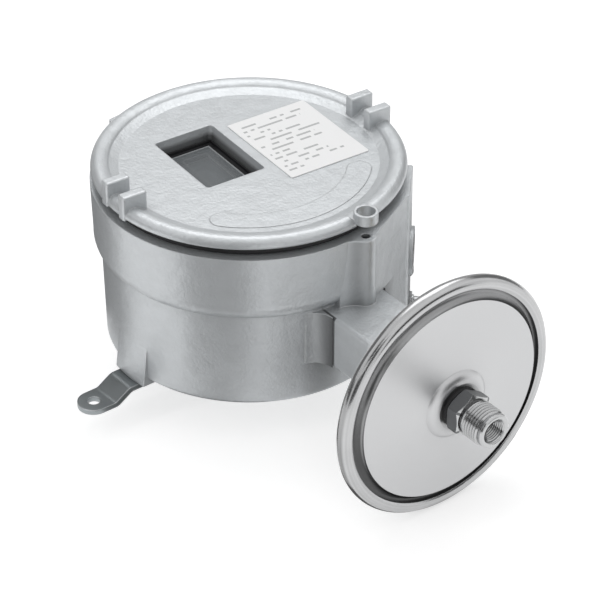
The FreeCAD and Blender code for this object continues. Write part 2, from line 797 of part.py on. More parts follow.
def build_lid():
    crown_radius = S.lid_radius - S.rim_tube
    disc = revolved("lid_disc", [
        (ZERO, PLATE_BASE),
        (SKIRT_INNER_RADIUS, PLATE_BASE),
        (SKIRT_INNER_RADIUS, LEDGE - S.skirt_depth),
        (SKIRT_RADIUS, LEDGE - S.skirt_depth),
        (SKIRT_RADIUS, RIM_FOOT),
        (S.lid_radius - S.rim_foot_round, RIM_FOOT),
        (S.lid_radius, RIM_MID, S.rim_lift * 1.2),
        (crown_radius, RIM_TOP, S.rim_tube),
        (S.rim_inner_radius, RIM_MID + S.rim_inner_height * 0.75, S.rim_tube * 1.6),
        (S.rim_inner_radius - S.rim_foot_round / 2, RIM_MID + S.rim_inner_height * 0.55),
        (S.plate_radius, PLATE_TOP),
        (ZERO, PLATE_TOP),
    ])
    lugs = []
    soft_from = RIM_TOP.value
    for x, y in ((-1, -1), (1, -1), (1, 1), (-1, 1)):
        name = "lug_%s_%s" % ("rear" if x < 0 else "front", "left" if y < 0 else "right")
        middle = (S.lug_slot + S.lug_thickness) / 2 * x
        low = S.lug_reach - S.lug_length if y > 0 else -S.lug_reach
        foot = PLATE_TOP - S.plate_thickness / 4
        block = box(name + "_block", (S.lug_thickness, S.lug_length, RIM_MID + S.lug_top - foot),
                    (middle - S.lug_thickness / 2, low, foot))
        lugs.append(rounded(name, block, S.lug_round,
                            lambda edge: edge.CenterOfMass.z > soft_from))
    boss_foot = RIM_FOOT + S.lock_boss_lift
    boss = cylinder("lock_boss", S.lock_boss_radius, S.lock_boss_top + S.rim_lift - S.lock_boss_lift,
                    (S.lock_reach, ZERO, boss_foot))
    bridge_root = S.rim_inner_radius + S.rim_tube
    bridge = box("lock_bridge", (S.lock_reach - bridge_root, S.lock_boss_radius * 2,
                                 S.rim_tube + S.rim_lift - S.lock_boss_lift),
                 (bridge_root, -S.lock_boss_radius, boss_foot))
    lock_turn = S.lock_azimuth - S.lid_clocking
    lock = turned(fuse("lock", [boss, bridge]), lock_turn)
    kidney_top = S.kidney_rise + S.plate_thickness / 4
    kidney_foot = PLATE_TOP - S.plate_thickness / 4
    outer = cylinder("kidney_outer", S.kidney_outer_radius, kidney_top, (ZERO, ZERO, kidney_foot))
    bind(outer, "Angle", S.kidney_sweep)
    inner = cylinder("kidney_inner", S.kidney_inner_radius, kidney_top, (ZERO, ZERO, kidney_foot))
    sector = cut("kidney_sector", outer, [inner])
    end_radius = (S.kidney_outer_radius - S.kidney_inner_radius) / 2
    end_reach = S.kidney_inner_radius + end_radius
    ends = []
    for word, angle in (("start", ZERO), ("stop", S.kidney_sweep)):
        cap = cylinder("kidney_cap_" + word, end_radius, kidney_top, (end_reach, ZERO, kidney_foot))
        ends.append(swung("kidney_end_" + word, cap, angle))
    kidney = turned(fuse("kidney", [sector] + ends), S.kidney_start)
    blank = fuse("lid_casting", [disc, lock, kidney] + lugs)
    sight = DOC.addObject("Part::Wedge", "window_taper")
    half_x = S.window_length / 2
    half_y = S.window_width / 2
    for side, size in (("Xmin", -half_x + S.window_draft), ("Xmax", half_x - S.window_draft),
                       ("Zmin", -half_y + S.window_draft), ("Zmax", half_y - S.window_draft),
                       ("X2min", -half_x), ("X2max", half_x), ("Z2min", -half_y), ("Z2max", half_y),
                       ("Ymin", ZERO), ("Ymax", S.plate_thickness)):
        bind(sight, side, size)
    place(sight, (S.window_x, S.window_y, PLATE_BASE), FreeCAD.Rotation(FreeCAD.Vector(1, 0, 0), 90))
    soft_sight = rounded("window_opening", sight, S.window_corner, climbs)
    lock_bore = cylinder("lock_clear_bore", S.lock_clear_radius, S.rim_tube * 6,
                         (S.lock_reach, ZERO, RIM_FOOT - S.rim_tube))
    tappings = [cylinder("frame_tapping_%d" % number, S.frame_screw_radius, S.frame_screw_bite,
                         (*spot, PLATE_BASE)) for number, spot in enumerate(frame_screw_spots())]
    node(turned(cut("lid", blank, [soft_sight, swung("lock_clear", lock_bore, lock_turn)] + tappings),
                S.lid_clocking))
    seal_tube = S.lid_gap / 2 - S.seal_clearance
    seal_reach = S.lid_thread_radius + S.lid_gap / 2
    seal = DOC.addObject("Part::Torus", "lid_seal")
    bind(seal, "Radius1", seal_reach)
    bind(seal, "Radius2", seal_tube)
    node(place(seal, (ZERO, ZERO, LEDGE + S.lid_gap / 2)))


def frame_screw_spots():
    """The four corners of the glass frame where its screws go up into the lid."""
    reach_x = S.glass_length / 2 + S.frame_screw_inset
    reach_y = S.glass_width / 2 + S.frame_screw_inset
    return [(S.window_x + reach_x * x, S.window_y + reach_y * y)
            for x, y in ((-1, -1), (1, -1), (1, 1), (-1, 1))]


def build_window():
    centre = (S.window_x, S.window_y)
    gasket_base = PLATE_BASE - S.gasket_thickness
    glass_base = gasket_base - S.glass_thickness
    frame_base = glass_base - S.frame_lip
    sheet = centred_box("gasket_sheet", (S.glass_length, S.glass_width, S.gasket_thickness),
                        (*centre, gasket_base))
    inside = (S.window_length - S.window_draft * 2 - S.gasket_overlap,
              S.window_width - S.window_draft * 2 - S.gasket_overlap, S.gasket_thickness * 3)
    gasket = cut("window_gasket", sheet,
                 [centred_box("gasket_sight", inside, (*centre, gasket_base - S.gasket_thickness))])
    node(turned(gasket, S.lid_clocking))
    pane = centred_box("glass_pane", (S.glass_length - S.fit_gap * 4, S.glass_width - S.fit_gap * 4,
                                      S.glass_thickness), (*centre, glass_base))
    upright = FreeCAD.Vector(0, 0, 1)
    glass = rounded("window_glass", pane, S.window_corner / 2, lambda edge: runs_along(edge, upright))
    node(turned(glass, S.lid_clocking))
    rim = S.frame_wall * 2
    block = centred_box("frame_block", (S.glass_length + rim, S.glass_width + rim, PLATE_BASE - frame_base),
                        (*centre, frame_base))
    pocket = centred_box("frame_pocket", (S.glass_length, S.glass_width, S.glass_thickness * 3),
                         (*centre, glass_base))
    sight = centred_box("frame_sight", (S.frame_sight_length, S.frame_sight_width, S.frame_lip * 3),
                        (*centre, frame_base - S.frame_lip))
    soft_block = rounded("frame_soft_block", block, S.frame_wall * 0.8,
                         lambda edge: runs_along(edge, upright))
    holes = [cylinder("frame_hole_%d" % number, S.frame_screw_radius + S.fit_gap, S.plate_thickness * 4,
                      (*spot, frame_base - S.frame_lip)) for number, spot in enumerate(frame_screw_spots())]
    node(turned(cut("window_frame", soft_block, [pocket, sight] + holes), S.lid_clocking))
    shank = PLATE_BASE - frame_base + S.frame_screw_bite - S.fit_gap
    screws = [screw("frame_screw_%d" % number, S.frame_screw_radius - S.fit_gap, shank,
                    S.frame_screw_head_radius, S.frame_screw_head_height, (*spot, frame_base), "Z", flip=True)
              for number, spot in enumerate(frame_screw_spots())]
    node(turned(group("frame_screws", screws), S.lid_clocking))
    plate = centred_box("rating_sheet", (S.rating_length, S.rating_width, S.rating_thickness),
                        (S.rating_x, S.rating_y, PLATE_TOP))
    rating = rounded("rating_plate", plate, S.window_corner / 2, lambda edge: runs_along(edge, upright))
    node(turned(rating, S.lid_clocking))


def build_entries():
    seat = S.entry_reach + S.entry_boss_rise
    plug_height = BODY + S.entry_height
    slug = cylinder("plug_slug", S.entry_thread_radius - S.fit_gap, S.entry_plug_length,
                    (seat - S.entry_plug_length, ZERO, plug_height), "X")
    socket = prism("plug_socket", S.plug_socket_radius, S.plug_socket_depth + S.cut_overrun,
                   (seat - S.plug_socket_depth, ZERO, plug_height), "X")
    node(turned(cut("entry_plug", slug, [socket]), S.entry_azimuth))
    height = BODY + S.earth_height
    face = S.entry_reach
    clamp_front = face + S.earth_clamp_thickness
    washer_front = clamp_front + S.earth_washer_thickness
    plate = box("clamp_plate", (S.earth_clamp_thickness, S.earth_clamp_width, S.earth_clamp_height),
                (face, -S.earth_clamp_width / 2, height - S.earth_clamp_height * 0.62))
    lip = box("clamp_lip", (S.earth_clamp_thickness * 2.2, S.earth_clamp_width, S.earth_clamp_thickness),
              (face, -S.earth_clamp_width / 2, height - S.earth_clamp_height * 0.62))
    bore = cylinder("clamp_bore", S.earth_screw_radius + S.fit_gap, S.earth_screw_length,
                    (face, ZERO, height), "X")
    node(turned(cut("earth_clamp", fuse("clamp_blank", [plate, lip]), [bore]), S.entry_azimuth))
    disc = cylinder("washer_disc", S.earth_washer_radius, S.earth_washer_thickness,
                    (clamp_front, ZERO, height), "X")
    eye = cylinder("washer_eye", S.earth_screw_radius + S.fit_gap, S.earth_screw_length,
                   (face, ZERO, height), "X")
    node(turned(cut("earth_washer", disc, [eye]), S.entry_azimuth))
    length = S.earth_screw_length + washer_front - face - S.fit_gap
    bolt = screw("earth_bolt", S.earth_screw_radius - S.fit_gap, length, S.earth_head_radius,
                 S.earth_head_height, (washer_front, ZERO, height), "X")
    slot = box("earth_slot", (S.earth_head_height, S.earth_head_radius * 3, S.earth_clamp_thickness / 2),
               (washer_front + S.earth_head_height / 2, -S.earth_head_radius * 1.5,
                height - S.earth_clamp_thickness / 4))
    node(turned(cut("earth_screw", bolt, [slot]), S.entry_azimuth))


def build_chamber():
    flange = S.chamber_radius - S.bead_tube
    stack = S.membrane / 2 + S.dish_sheet
    lip = S.bead_tube * 0.8
    lip_radius = flange - S.bead_tube * 0.6
    slot = stack + S.fit_gap
    node(revolved("rim_bead", [
        (CHAMBER + slot, lip_radius),
        (CHAMBER + lip, lip_radius),
        (CHAMBER, S.chamber_radius, S.bead_tube),
        (CHAMBER - lip, lip_radius, S.bead_tube),
        (CHAMBER - slot, lip_radius),
        (CHAMBER - slot, FLANGE_RADIUS + S.fit_gap),
        (CHAMBER + slot, FLANGE_RADIUS + S.fit_gap),
    ], "X", AXIS))
    stud_hole = S.stud_radius + S.fit_gap
    front = MEMBRANE_FRONT + S.dish_sheet
    shoulder = front + S.front_shoulder
    dome = PAN_RADIUS * 3
    node(revolved("front_dish", [
        (MEMBRANE_FRONT, FLANGE_RADIUS),
        (MEMBRANE_FRONT, PAN_RADIUS - S.dish_sheet),
        (shoulder - S.dish_sheet, PAN_RADIUS - S.dish_sheet * 2, S.dish_sheet * 3),
        (CROWN - S.dish_sheet, S.front_boss_radius - S.dish_sheet, dome),
        (LIP - S.dish_sheet, S.front_boss_lip_radius - S.dish_sheet, -S.front_boss_radius / 2),
        (LIP - S.dish_sheet, stud_hole),
        (LIP, stud_hole),
        (LIP, S.front_boss_lip_radius),
        (CROWN, S.front_boss_radius, S.front_boss_radius / 2),
        (shoulder, PAN_RADIUS - S.dish_sheet, -dome),
        (front, PAN_RADIUS + S.dish_sheet, -S.dish_sheet * 3),
        (front, FLANGE_RADIUS),
    ], "X", AXIS))
    back = MEMBRANE_BACK - S.dish_sheet
    nose_hole = S.stem_nose_radius + S.fit_gap
    flank = back - S.front_shoulder * 0.6
    pan = revolved("rear_pan", [
        (MEMBRANE_BACK, FLANGE_RADIUS),
        (MEMBRANE_BACK, PAN_RADIUS - S.dish_sheet),
        (flank, PAN_RADIUS - S.dish_sheet * 2, -S.dish_sheet * 3),
        (PAN_BACK + S.dish_sheet, PAN_FLOOR_RADIUS, -(PAN_RADIUS - PAN_FLOOR_RADIUS) * 1.2),
        (PAN_BACK + S.dish_sheet, nose_hole),
        (PAN_BACK, nose_hole),
        (PAN_BACK, PAN_FLOOR_RADIUS + S.dish_sheet),
        (flank, PAN_RADIUS, (PAN_RADIUS - PAN_FLOOR_RADIUS) * 1.2),
        (back, PAN_RADIUS + S.dish_sheet, S.dish_sheet * 3),
        (back, FLANGE_RADIUS),
    ], "X", AXIS)
    port = cylinder("rear_pan_port", S.nipple_stud_radius + S.fit_gap, S.dish_sheet * 4,
                    (PAN_BACK - S.dish_sheet, NIPPLE_Y, NIPPLE_Z), "X")
    node(cut("rear_dish", pan, [port]))
    half = S.membrane / 2
    crease = S.roll_depth - half
    node(revolved("diaphragm", [
        (MEMBRANE_BACK, S.rod_radius + S.fit_gap),
        (MEMBRANE_FRONT, S.rod_radius + S.fit_gap),
        (MEMBRANE_FRONT, ROLL_INNER_RADIUS),
        (MEMBRANE_FRONT + crease, (ROLL_INNER_RADIUS + ROLL_OUTER_RADIUS) / 2),
        (MEMBRANE_FRONT, ROLL_OUTER_RADIUS),
        (MEMBRANE_FRONT, FLANGE_RADIUS),
        (MEMBRANE_BACK, FLANGE_RADIUS),
        (MEMBRANE_BACK, ROLL_OUTER_RADIUS - half),
        (MEMBRANE_BACK + crease, (ROLL_INNER_RADIUS + ROLL_OUTER_RADIUS) / 2),
        (MEMBRANE_BACK, ROLL_INNER_RADIUS + half),
    ], "X", AXIS))
    for word, station in (("rear", MEMBRANE_BACK - S.dish_sheet), ("front", MEMBRANE_FRONT)):
        plate = cylinder(word + "_centre_disc", CENTRE_PLATE_RADIUS, S.dish_sheet, (station, ZERO, AXIS), "X")
        eye = cylinder(word + "_centre_eye", S.rod_radius + S.fit_gap, S.dish_sheet * 3,
                       (station - S.dish_sheet, ZERO, AXIS), "X")
        node(cut(word + "_centre_plate", plate, [eye]))
    stem_blank = revolved("stem_blank", [
        (ARM_END - S.stem_socket_depth, S.rod_radius + S.rod_running_gap),
        (ARM_END - S.stem_socket_depth, S.stem_socket_radius - S.fit_gap),
        (ARM_END, S.stem_socket_radius - S.fit_gap),
        (ARM_END, S.stem_flange_radius),
        (PAN_BACK, S.stem_flange_radius),
        (PAN_BACK, S.stem_nose_radius),
        (PAN_BACK + S.stem_nose_length, S.stem_nose_radius),
        (PAN_BACK + S.stem_nose_length, S.rod_radius + S.rod_running_gap),
    ], "X", AXIS)
    stem_blank.Label = "sensor_stem"
    node(stem_blank)
    nut = prism("stem_nut_blank", S.stem_nut_radius, S.stem_nose_length - S.dish_sheet,
                (PAN_BACK + S.dish_sheet, ZERO, AXIS), "X")
    nut_eye = cylinder("stem_nut_eye", S.stem_nose_radius + S.fit_gap, S.stem_nose_length * 2,
                       (PAN_BACK, ZERO, AXIS), "X")
    node(cut("stem_nut", nut, [nut_eye]))


def build_push_rod():
    tip = LEVER_FRONT + S.contact_gap
    shaft_start = tip + S.rod_radius
    rod_end = MEMBRANE_FRONT + S.dish_sheet + S.rod_nut_height
    shaft = cylinder("rod_shaft", S.rod_radius, rod_end - shaft_start, (shaft_start, ZERO, AXIS), "X")
    ball = DOC.addObject("Part::Sphere", "rod_tip")
    bind(ball, "Radius", S.rod_radius)
    place(ball, (shaft_start, ZERO, AXIS))
    shoulder = cylinder("rod_shoulder", S.rod_nut_radius, S.dish_sheet * 2,
                        (MEMBRANE_BACK - S.dish_sheet * 3, ZERO, AXIS), "X")
    node(fuse("push_rod", [shaft, ball, shoulder]))
    nut = prism("rod_nut_blank", S.rod_nut_radius, S.rod_nut_height,
                (MEMBRANE_FRONT + S.dish_sheet, ZERO, AXIS), "X")
    eye = cylinder("rod_nut_eye", S.rod_radius + S.fit_gap, S.rod_nut_height * 3,
                   (MEMBRANE_FRONT, ZERO, AXIS), "X")
    node(cut("rod_nut", nut, [eye]))
    bush = cylinder("rod_guide_blank", S.rod_channel_radius - S.fit_gap, S.guide_length,
                    (S.guide_offset, ZERO, AXIS), "X")
    bore = cylinder("rod_guide_bore", S.rod_radius + S.rod_running_gap, S.guide_length * 3,
                    (S.guide_offset - S.guide_length, ZERO, AXIS), "X")
    node(cut("rod_guide", bush, [bore]))


def build_connections():
    nut_back = LIP - S.dish_sheet - S.process_nut_height
    thread_start = HEX_FRONT + S.relief_length
    turned_blank = revolved("fitting_turned", [
        (nut_back, S.process_duct_radius),
        (nut_back, S.stud_radius),
        (HEX_BACK, S.stud_radius),
        (HEX_BACK, S.relief_radius),
        (thread_start, S.relief_radius),
        (thread_start, S.process_thread_radius - S.process_chamfer / 2),
        (thread_start + S.process_chamfer / 2, S.process_thread_radius),
        (PROCESS_END - S.process_chamfer, S.process_thread_radius),
        (PROCESS_END, S.process_thread_radius - S.process_chamfer),
        (PROCESS_END, S.process_bore_radius),
        (PROCESS_END - S.process_bore_depth, S.process_bore_radius),
        (PROCESS_END - S.process_bore_depth, S.process_duct_radius),
    ], "X", AXIS)
    hexagon = prism("fitting_hexagon", S.hex_radius, S.hex_length, (HEX_BACK, ZERO, AXIS), "X")
    core = cylinder("fitting_core", S.relief_radius - S.fit_gap, S.hex_length * 3,
                    (HEX_BACK - S.hex_length, ZERO, AXIS), "X")
    collar = cut("fitting_collar", hexagon, [core])
    node(fuse("process_fitting", [turned_blank, collar]))
    ring = cylinder("washer_ring", S.washer_radius, S.washer_thickness, (LIP, ZERO, AXIS), "X")
    eye = cylinder("washer_ring_eye", S.stud_radius + S.fit_gap, S.washer_thickness * 3,
                   (LIP - S.washer_thickness, ZERO, AXIS), "X")
    node(cut("fitting_washer", ring, [eye]))
    nut = cylinder("process_nut_blank", S.stud_radius + S.process_nut_rim, S.process_nut_height,
                   (nut_back, ZERO, AXIS), "X")
    nut_eye = cylinder("process_nut_eye", S.stud_radius + S.fit_gap, S.process_nut_height * 3,
                       (nut_back - S.process_nut_height, ZERO, AXIS), "X")
    node(cut("process_nut", nut, [nut_eye]))
    spot = (NIPPLE_Y, NIPPLE_Z)
    hex_back = PAN_BACK - S.nipple_hex_length
    bend = hex_back - S.nipple_elbow_radius - S.nipple_neck
    stud = cylinder("nipple_stud", S.nipple_stud_radius, PAN_BACK - bend + S.dish_sheet + S.nipple_nut_height,
                    (bend, *spot), "X")
    nipple_hex = prism("nipple_hex", S.nipple_hex_radius, S.nipple_hex_length, (hex_back, *spot), "X")
    elbow = DOC.addObject("Part::Sphere", "nipple_elbow")
    bind(elbow, "Radius", S.nipple_elbow_radius)
    place(elbow, (bend, *spot), FreeCAD.Rotation(FreeCAD.Vector(0, 0, 1), 180))
    reach = S.nipple_elbow_radius + S.nipple_spigot_length
    waist = cylinder("nipple_waist", S.nipple_relief_radius, reach, (bend, *spot), "Y")
    clear = S.nipple_elbow_radius + S.nipple_relief_length
    spigot = cylinder("nipple_spigot", S.nipple_spigot_radius, reach - clear,
                      (bend, NIPPLE_Y + clear, NIPPLE_Z), "Y")
    inner_duct = cylinder("nipple_inner_duct", S.nipple_duct_radius, reach * 2, (bend, *spot), "X")
    outer_duct = cylinder("nipple_outer_duct", S.nipple_duct_radius, reach + S.cut_overrun,
                          (bend, *spot), "Y")
    node(cut("low_pressure_nipple", fuse("nipple_blank", [stud, nipple_hex, elbow, waist, spigot]),
             [inner_duct, outer_duct]))
    ring_nut = prism("nipple_nut_blank", S.nipple_hex_radius, S.nipple_nut_height,
                     (PAN_BACK + S.dish_sheet, *spot), "X")
    ring_eye = cylinder("nipple_nut_eye", S.nipple_stud_radius + S.fit_gap, S.nipple_nut_height * 3,
                        (PAN_BACK, *spot), "X")
    node(cut("nipple_nut", ring_nut, [ring_eye]))


def bracket_screw_spots():
    """Where the brackets and the terminal block are screwed to the chassis: x, y and seat level."""
    wing = S.lever_width / 2 + S.ear_gap + S.ear_plate + S.bracket_wing / 2
    foot = S.spindle_bracket_x + S.spindle_bracket_thickness + S.spindle_foot_length * 0.6
    switch_x = SWITCH_FRONT - S.switch_length / 2
    switch_y = S.switch_y + S.switch_width / 2 + S.switch_plate + (S.switch_foot_width - S.switch_plate) / 2
    seat = DECK + S.bracket_foot
    return {
        "pivot": [(S.pivot_x, wing, seat), (S.pivot_x, -wing, seat)],
        "spindle": [(foot, S.spring_y - S.spindle_bracket_width / 4, seat),
                    (foot, S.spring_y + S.spindle_bracket_width / 4, seat)],
        "switch": [(switch_x, switch_y, seat)],
    }


def bracket_holes(name, spots):
    return [cylinder("%s_hole_%d" % (name, number), S.chassis_screw_radius, S.bracket_foot * 6,
                     (x, y, z - S.bracket_foot * 3)) for number, (x, y, z) in enumerate(spots)]


def build_chassis():
    base = centred_box("chassis_sheet", (S.chassis_length, S.chassis_width, S.chassis_thickness),
                       (ZERO, ZERO, CHASSIS))
    corners = [(S.post_x * x, S.post_y * y) for x, y in ((-1, -1), (1, -1), (1, 1), (-1, 1))]
    holes = [cylinder("chassis_hole_%d" % number, S.chassis_screw_radius, S.chassis_thickness * 3,
                      (*spot, CHASSIS - S.chassis_thickness)) for number, spot in enumerate(corners)]
    taps = []
    for name, spots in bracket_screw_spots().items():
        taps += bracket_holes("chassis_" + name, spots)
    upright = FreeCAD.Vector(0, 0, 1)
    soft = rounded("chassis_soft", base, S.post_radius, lambda edge: runs_along(edge, upright))
    node(cut("chassis_plate", soft, holes + taps))
    shank = S.chassis_thickness + S.chassis_screw_bite
    screws = [screw("chassis_screw_%d" % number, S.chassis_screw_radius - S.fit_gap, shank,
                    S.small_head_radius, S.small_head_height, (*spot, DECK))
              for number, spot in enumerate(corners)]
    node(group("chassis_screws", screws))
    small = []
    for name, spots in bracket_screw_spots().items():
        small += [screw("%s_screw_%d" % (name, number), S.chassis_screw_radius - S.fit_gap,
                        S.bracket_foot + S.chassis_thickness, S.small_head_radius, S.small_head_height, spot)
                  for number, spot in enumerate(spots)]
    node(group("bracket_screws", small))


def build_lever():
    half = S.lever_width / 2
    ear_inner = half + S.ear_gap
    ear_outer = ear_inner + S.ear_plate
    span = (ear_outer + S.bracket_wing) * 2
    foot = centred_box("pivot_foot", (S.bracket_length, span, S.bracket_foot), (S.pivot_x, ZERO, DECK))
    ears = [box("pivot_ear_" + word, (S.bracket_length / 2, S.ear_plate, PIVOT + S.lever_hub_radius - DECK),
                (S.pivot_x - S.bracket_length / 4, low, DECK))
            for word, low in (("left", -ear_outer), ("right", ear_inner))]
    pin_bore = cylinder("pivot_pin_bore", S.pin_radius + S.fit_gap, span, (S.pivot_x, -span / 2, PIVOT), "Y")
    node(cut("pivot_bracket", fuse("pivot_blank", [foot] + ears),
             [pin_bore] + bracket_holes("pivot", bracket_screw_spots()["pivot"])))
    pin_half = ear_outer + S.pin_overhang
    node(cylinder("pivot_pin", S.pin_radius, pin_half * 2, (S.pivot_x, -pin_half, PIVOT), "Y"))
    hub = cylinder("lever_hub", S.lever_hub_radius, S.lever_width, (S.pivot_x, -half, PIVOT), "Y")
    stalk = box("lever_stalk", (S.lever_thickness, S.lever_width, S.lever_top), (LEVER_BACK, -half, PIVOT))
    flag = box("lever_flag", (S.lever_thickness, S.lever_flag_left + S.lever_flag_right,
                              S.lever_top - S.lever_flag_bottom),
               (LEVER_BACK, -S.lever_flag_left, PIVOT + S.lever_flag_bottom))
    hub_bore = cylinder("lever_bore", S.pin_radius + S.rod_running_gap, S.lever_width * 2,
                        (S.pivot_x, -S.lever_width, PIVOT), "Y")
    node(cut("switch_lever", fuse("lever_blank", [hub, stalk, flag]), [hub_bore]))


def build_set_point():
    head_back = S.spindle_bracket_x - S.contact_gap - S.spindle_head_length
    plate_front = S.spindle_bracket_x + S.spindle_bracket_thickness
    upright_height = SPINDLE + S.spindle_bracket_crown - DECK
    plate = box("spindle_upright", (S.spindle_bracket_thickness, S.spindle_bracket_width, upright_height),
                (S.spindle_bracket_x, S.spring_y - S.spindle_bracket_width / 2, DECK))
    foot = box("spindle_foot", (S.spindle_bracket_thickness + S.spindle_foot_length, S.spindle_bracket_width,
                                S.bracket_foot),
               (S.spindle_bracket_x, S.spring_y - S.spindle_bracket_width / 2, DECK))
    bore = cylinder("spindle_bearing", S.spindle_radius + S.rod_running_gap, S.spindle_bracket_thickness * 3,
                    (S.spindle_bracket_x - S.spindle_bracket_thickness, S.spring_y, SPINDLE), "X")
    node(cut("spindle_bracket", fuse("spindle_bracket_blank", [plate, foot]),
             [bore] + bracket_holes("spindle", bracket_screw_spots()["spindle"])))
    rod_end = NUT_FRONT + S.spindle_tail
    rod = cylinder("spindle_rod", S.spindle_radius, rod_end - head_back,
                   (head_back, S.spring_y, SPINDLE), "X")
    head = cylinder("spindle_head", S.spindle_head_radius, S.spindle_head_length,
                    (head_back, S.spring_y, SPINDLE), "X")
    collar = cylinder("spindle_collar", S.spindle_collar_radius, S.spindle_collar_length,
                      (plate_front + S.contact_gap, S.spring_y, SPINDLE), "X")
    slot_half = S.spindle_head_radius + S.cut_overrun
    slot = box("spindle_slot", (S.spindle_head_length / 2, slot_half * 2, S.spindle_slot_width),
               (head_back, S.spring_y - slot_half, SPINDLE - S.spindle_slot_width / 2))
    node(cut("set_spindle", fuse("spindle_blank", [rod, head, collar]), [slot]))
    block = box("set_nut_block", (S.nut_thickness, S.nut_side, S.nut_side),
                (NUT_BACK, S.spring_y - S.nut_side / 2, SPINDLE - S.nut_side / 2))
    thread = cylinder("set_nut_bore", S.spindle_radius + S.rod_running_gap, S.nut_thickness * 3,
                      (NUT_BACK - S.nut_thickness, S.spring_y, SPINDLE), "X")
    node(cut("set_nut", block, [thread]))
    post_foot = SPINDLE + S.nut_side / 2
    post_top = SCALE + S.scale_thickness + S.pointer_rise
    nut_middle = NUT_BACK + S.nut_thickness / 2
    stalk = centred_box("pointer_stalk", (S.pointer_width, S.pointer_width, post_top - post_foot),
                        (nut_middle, S.spring_y, post_foot))
    blade = centred_box("pointer_blade", (S.pointer_width, S.pointer_blade_length, S.pointer_blade_thickness),
                        (nut_middle, S.spring_y, post_top - S.pointer_blade_thickness))
    node(fuse("set_pointer", [stalk, blade]))
    sheet = box("scale_sheet", (S.scale_length, S.scale_width, S.scale_thickness),
                (S.scale_left, S.scale_y - S.scale_width / 2, SCALE))
    gap = S.pointer_width / 2 + S.pointer_slot_clearance
    track = box("scale_track", (S.nut_travel + gap * 2, gap * 2, S.scale_thickness * 3),
                (nut_middle - gap, S.spring_y - gap, SCALE - S.scale_thickness))
    node(cut("scale_plate", sheet, [track]))
    posts = []
    for word, x, y in scale_post_spots():
        posts.append(cylinder("scale_post_" + word, S.scale_post_radius, SCALE - DECK, (x, y, DECK)))
    node(group("scale_posts", posts))
    helix = DOC.addObject("Part::Helix", "spring_line")
    run = S.spring_length - S.spring_wire_radius * 2 - S.contact_gap * 2
    bind(helix, "Radius", S.spring_mean_radius)
    bind(helix, "Height", run)
    bind(helix, "Pitch", run / S.spring_turns)
    wire = DOC.addObject("Part::Circle", "spring_wire")
    bind(wire, "Radius", S.spring_wire_radius)
    place(wire, (S.spring_mean_radius, ZERO, ZERO), FreeCAD.Rotation(FreeCAD.Vector(1, 0, 0), 90))
    coil = DOC.addObject("Part::Sweep", "range_spring")
    coil.Sections = [wire]
    coil.Spine = (helix, [])
    coil.Solid = True
    coil.Frenet = True
    place(coil, (NUT_FRONT + S.spring_wire_radius + S.contact_gap, S.spring_y, SPINDLE), TURN["X"])
    node(coil)


def scale_post_spots():
    """The pillars under the two corners of the scale plate on its open side."""
    y = S.scale_y - S.scale_width / 2 + S.scale_post_inset
    return [("rear", S.scale_left + S.scale_post_run, y),
            ("front", S.scale_left + S.scale_length - S.scale_post_run, y)]


def build_switch():
    back = SWITCH_FRONT - S.switch_length
    low_y = S.switch_y - S.switch_width / 2
    base = PLUNGER - S.switch_height / 2
    case = box("switch_case", (S.switch_length, S.switch_width, S.switch_height), (back, low_y, base))
    well = cylinder("plunger_well", S.plunger_radius + S.rod_running_gap, S.plunger_depth,
                    (SWITCH_FRONT - S.plunger_depth, S.switch_y, PLUNGER), "X")
    plate_y = S.switch_y + S.switch_width / 2
    spots = [(back + S.switch_length / 2 - S.switch_screw_spread / 2, PLUNGER + S.switch_height / 4),
             (back + S.switch_length / 2 + S.switch_screw_spread / 2, PLUNGER - S.switch_height / 4)]
    holes = [cylinder("switch_hole_%d" % number, S.switch_screw_radius + S.fit_gap, S.switch_width * 4,
                      (x, low_y - S.switch_width, z), "Y") for number, (x, z) in enumerate(spots)]
    node(cut("micro_switch", case, [well] + holes))
    reach = S.plunger_stroke_gap - S.contact_gap
    node(cylinder("switch_plunger", S.plunger_radius, reach + S.plunger_depth / 2,
                  (SWITCH_FRONT - S.plunger_depth / 2, S.switch_y, PLUNGER), "X"))
    plate_x = back + (S.switch_length - S.switch_plate_length) / 2
    upright = box("switch_upright", (S.switch_plate_length, S.switch_plate, base + S.switch_height - DECK),
                  (plate_x, plate_y, DECK))
    foot = box("switch_foot", (S.switch_plate_length, S.switch_foot_width, S.bracket_foot),
               (plate_x, plate_y, DECK))
    plate_holes = [cylinder("switch_plate_hole_%d" % number, S.switch_screw_radius + S.fit_gap,
                            S.switch_width * 4, (x, low_y - S.switch_width, z), "Y")
                   for number, (x, z) in enumerate(spots)]
    node(cut("switch_bracket", fuse("switch_bracket_blank", [upright, foot]),
             plate_holes + bracket_holes("switch", bracket_screw_spots()["switch"])))
    screws = [screw("switch_screw_%d" % number, S.switch_screw_radius, S.switch_width + S.switch_plate,
                    S.switch_screw_radius * 1.8, S.switch_screw_radius, (x, low_y, z), "Y", flip=True)
              for number, (x, z) in enumerate(spots)]
    node(group("switch_screws", screws))


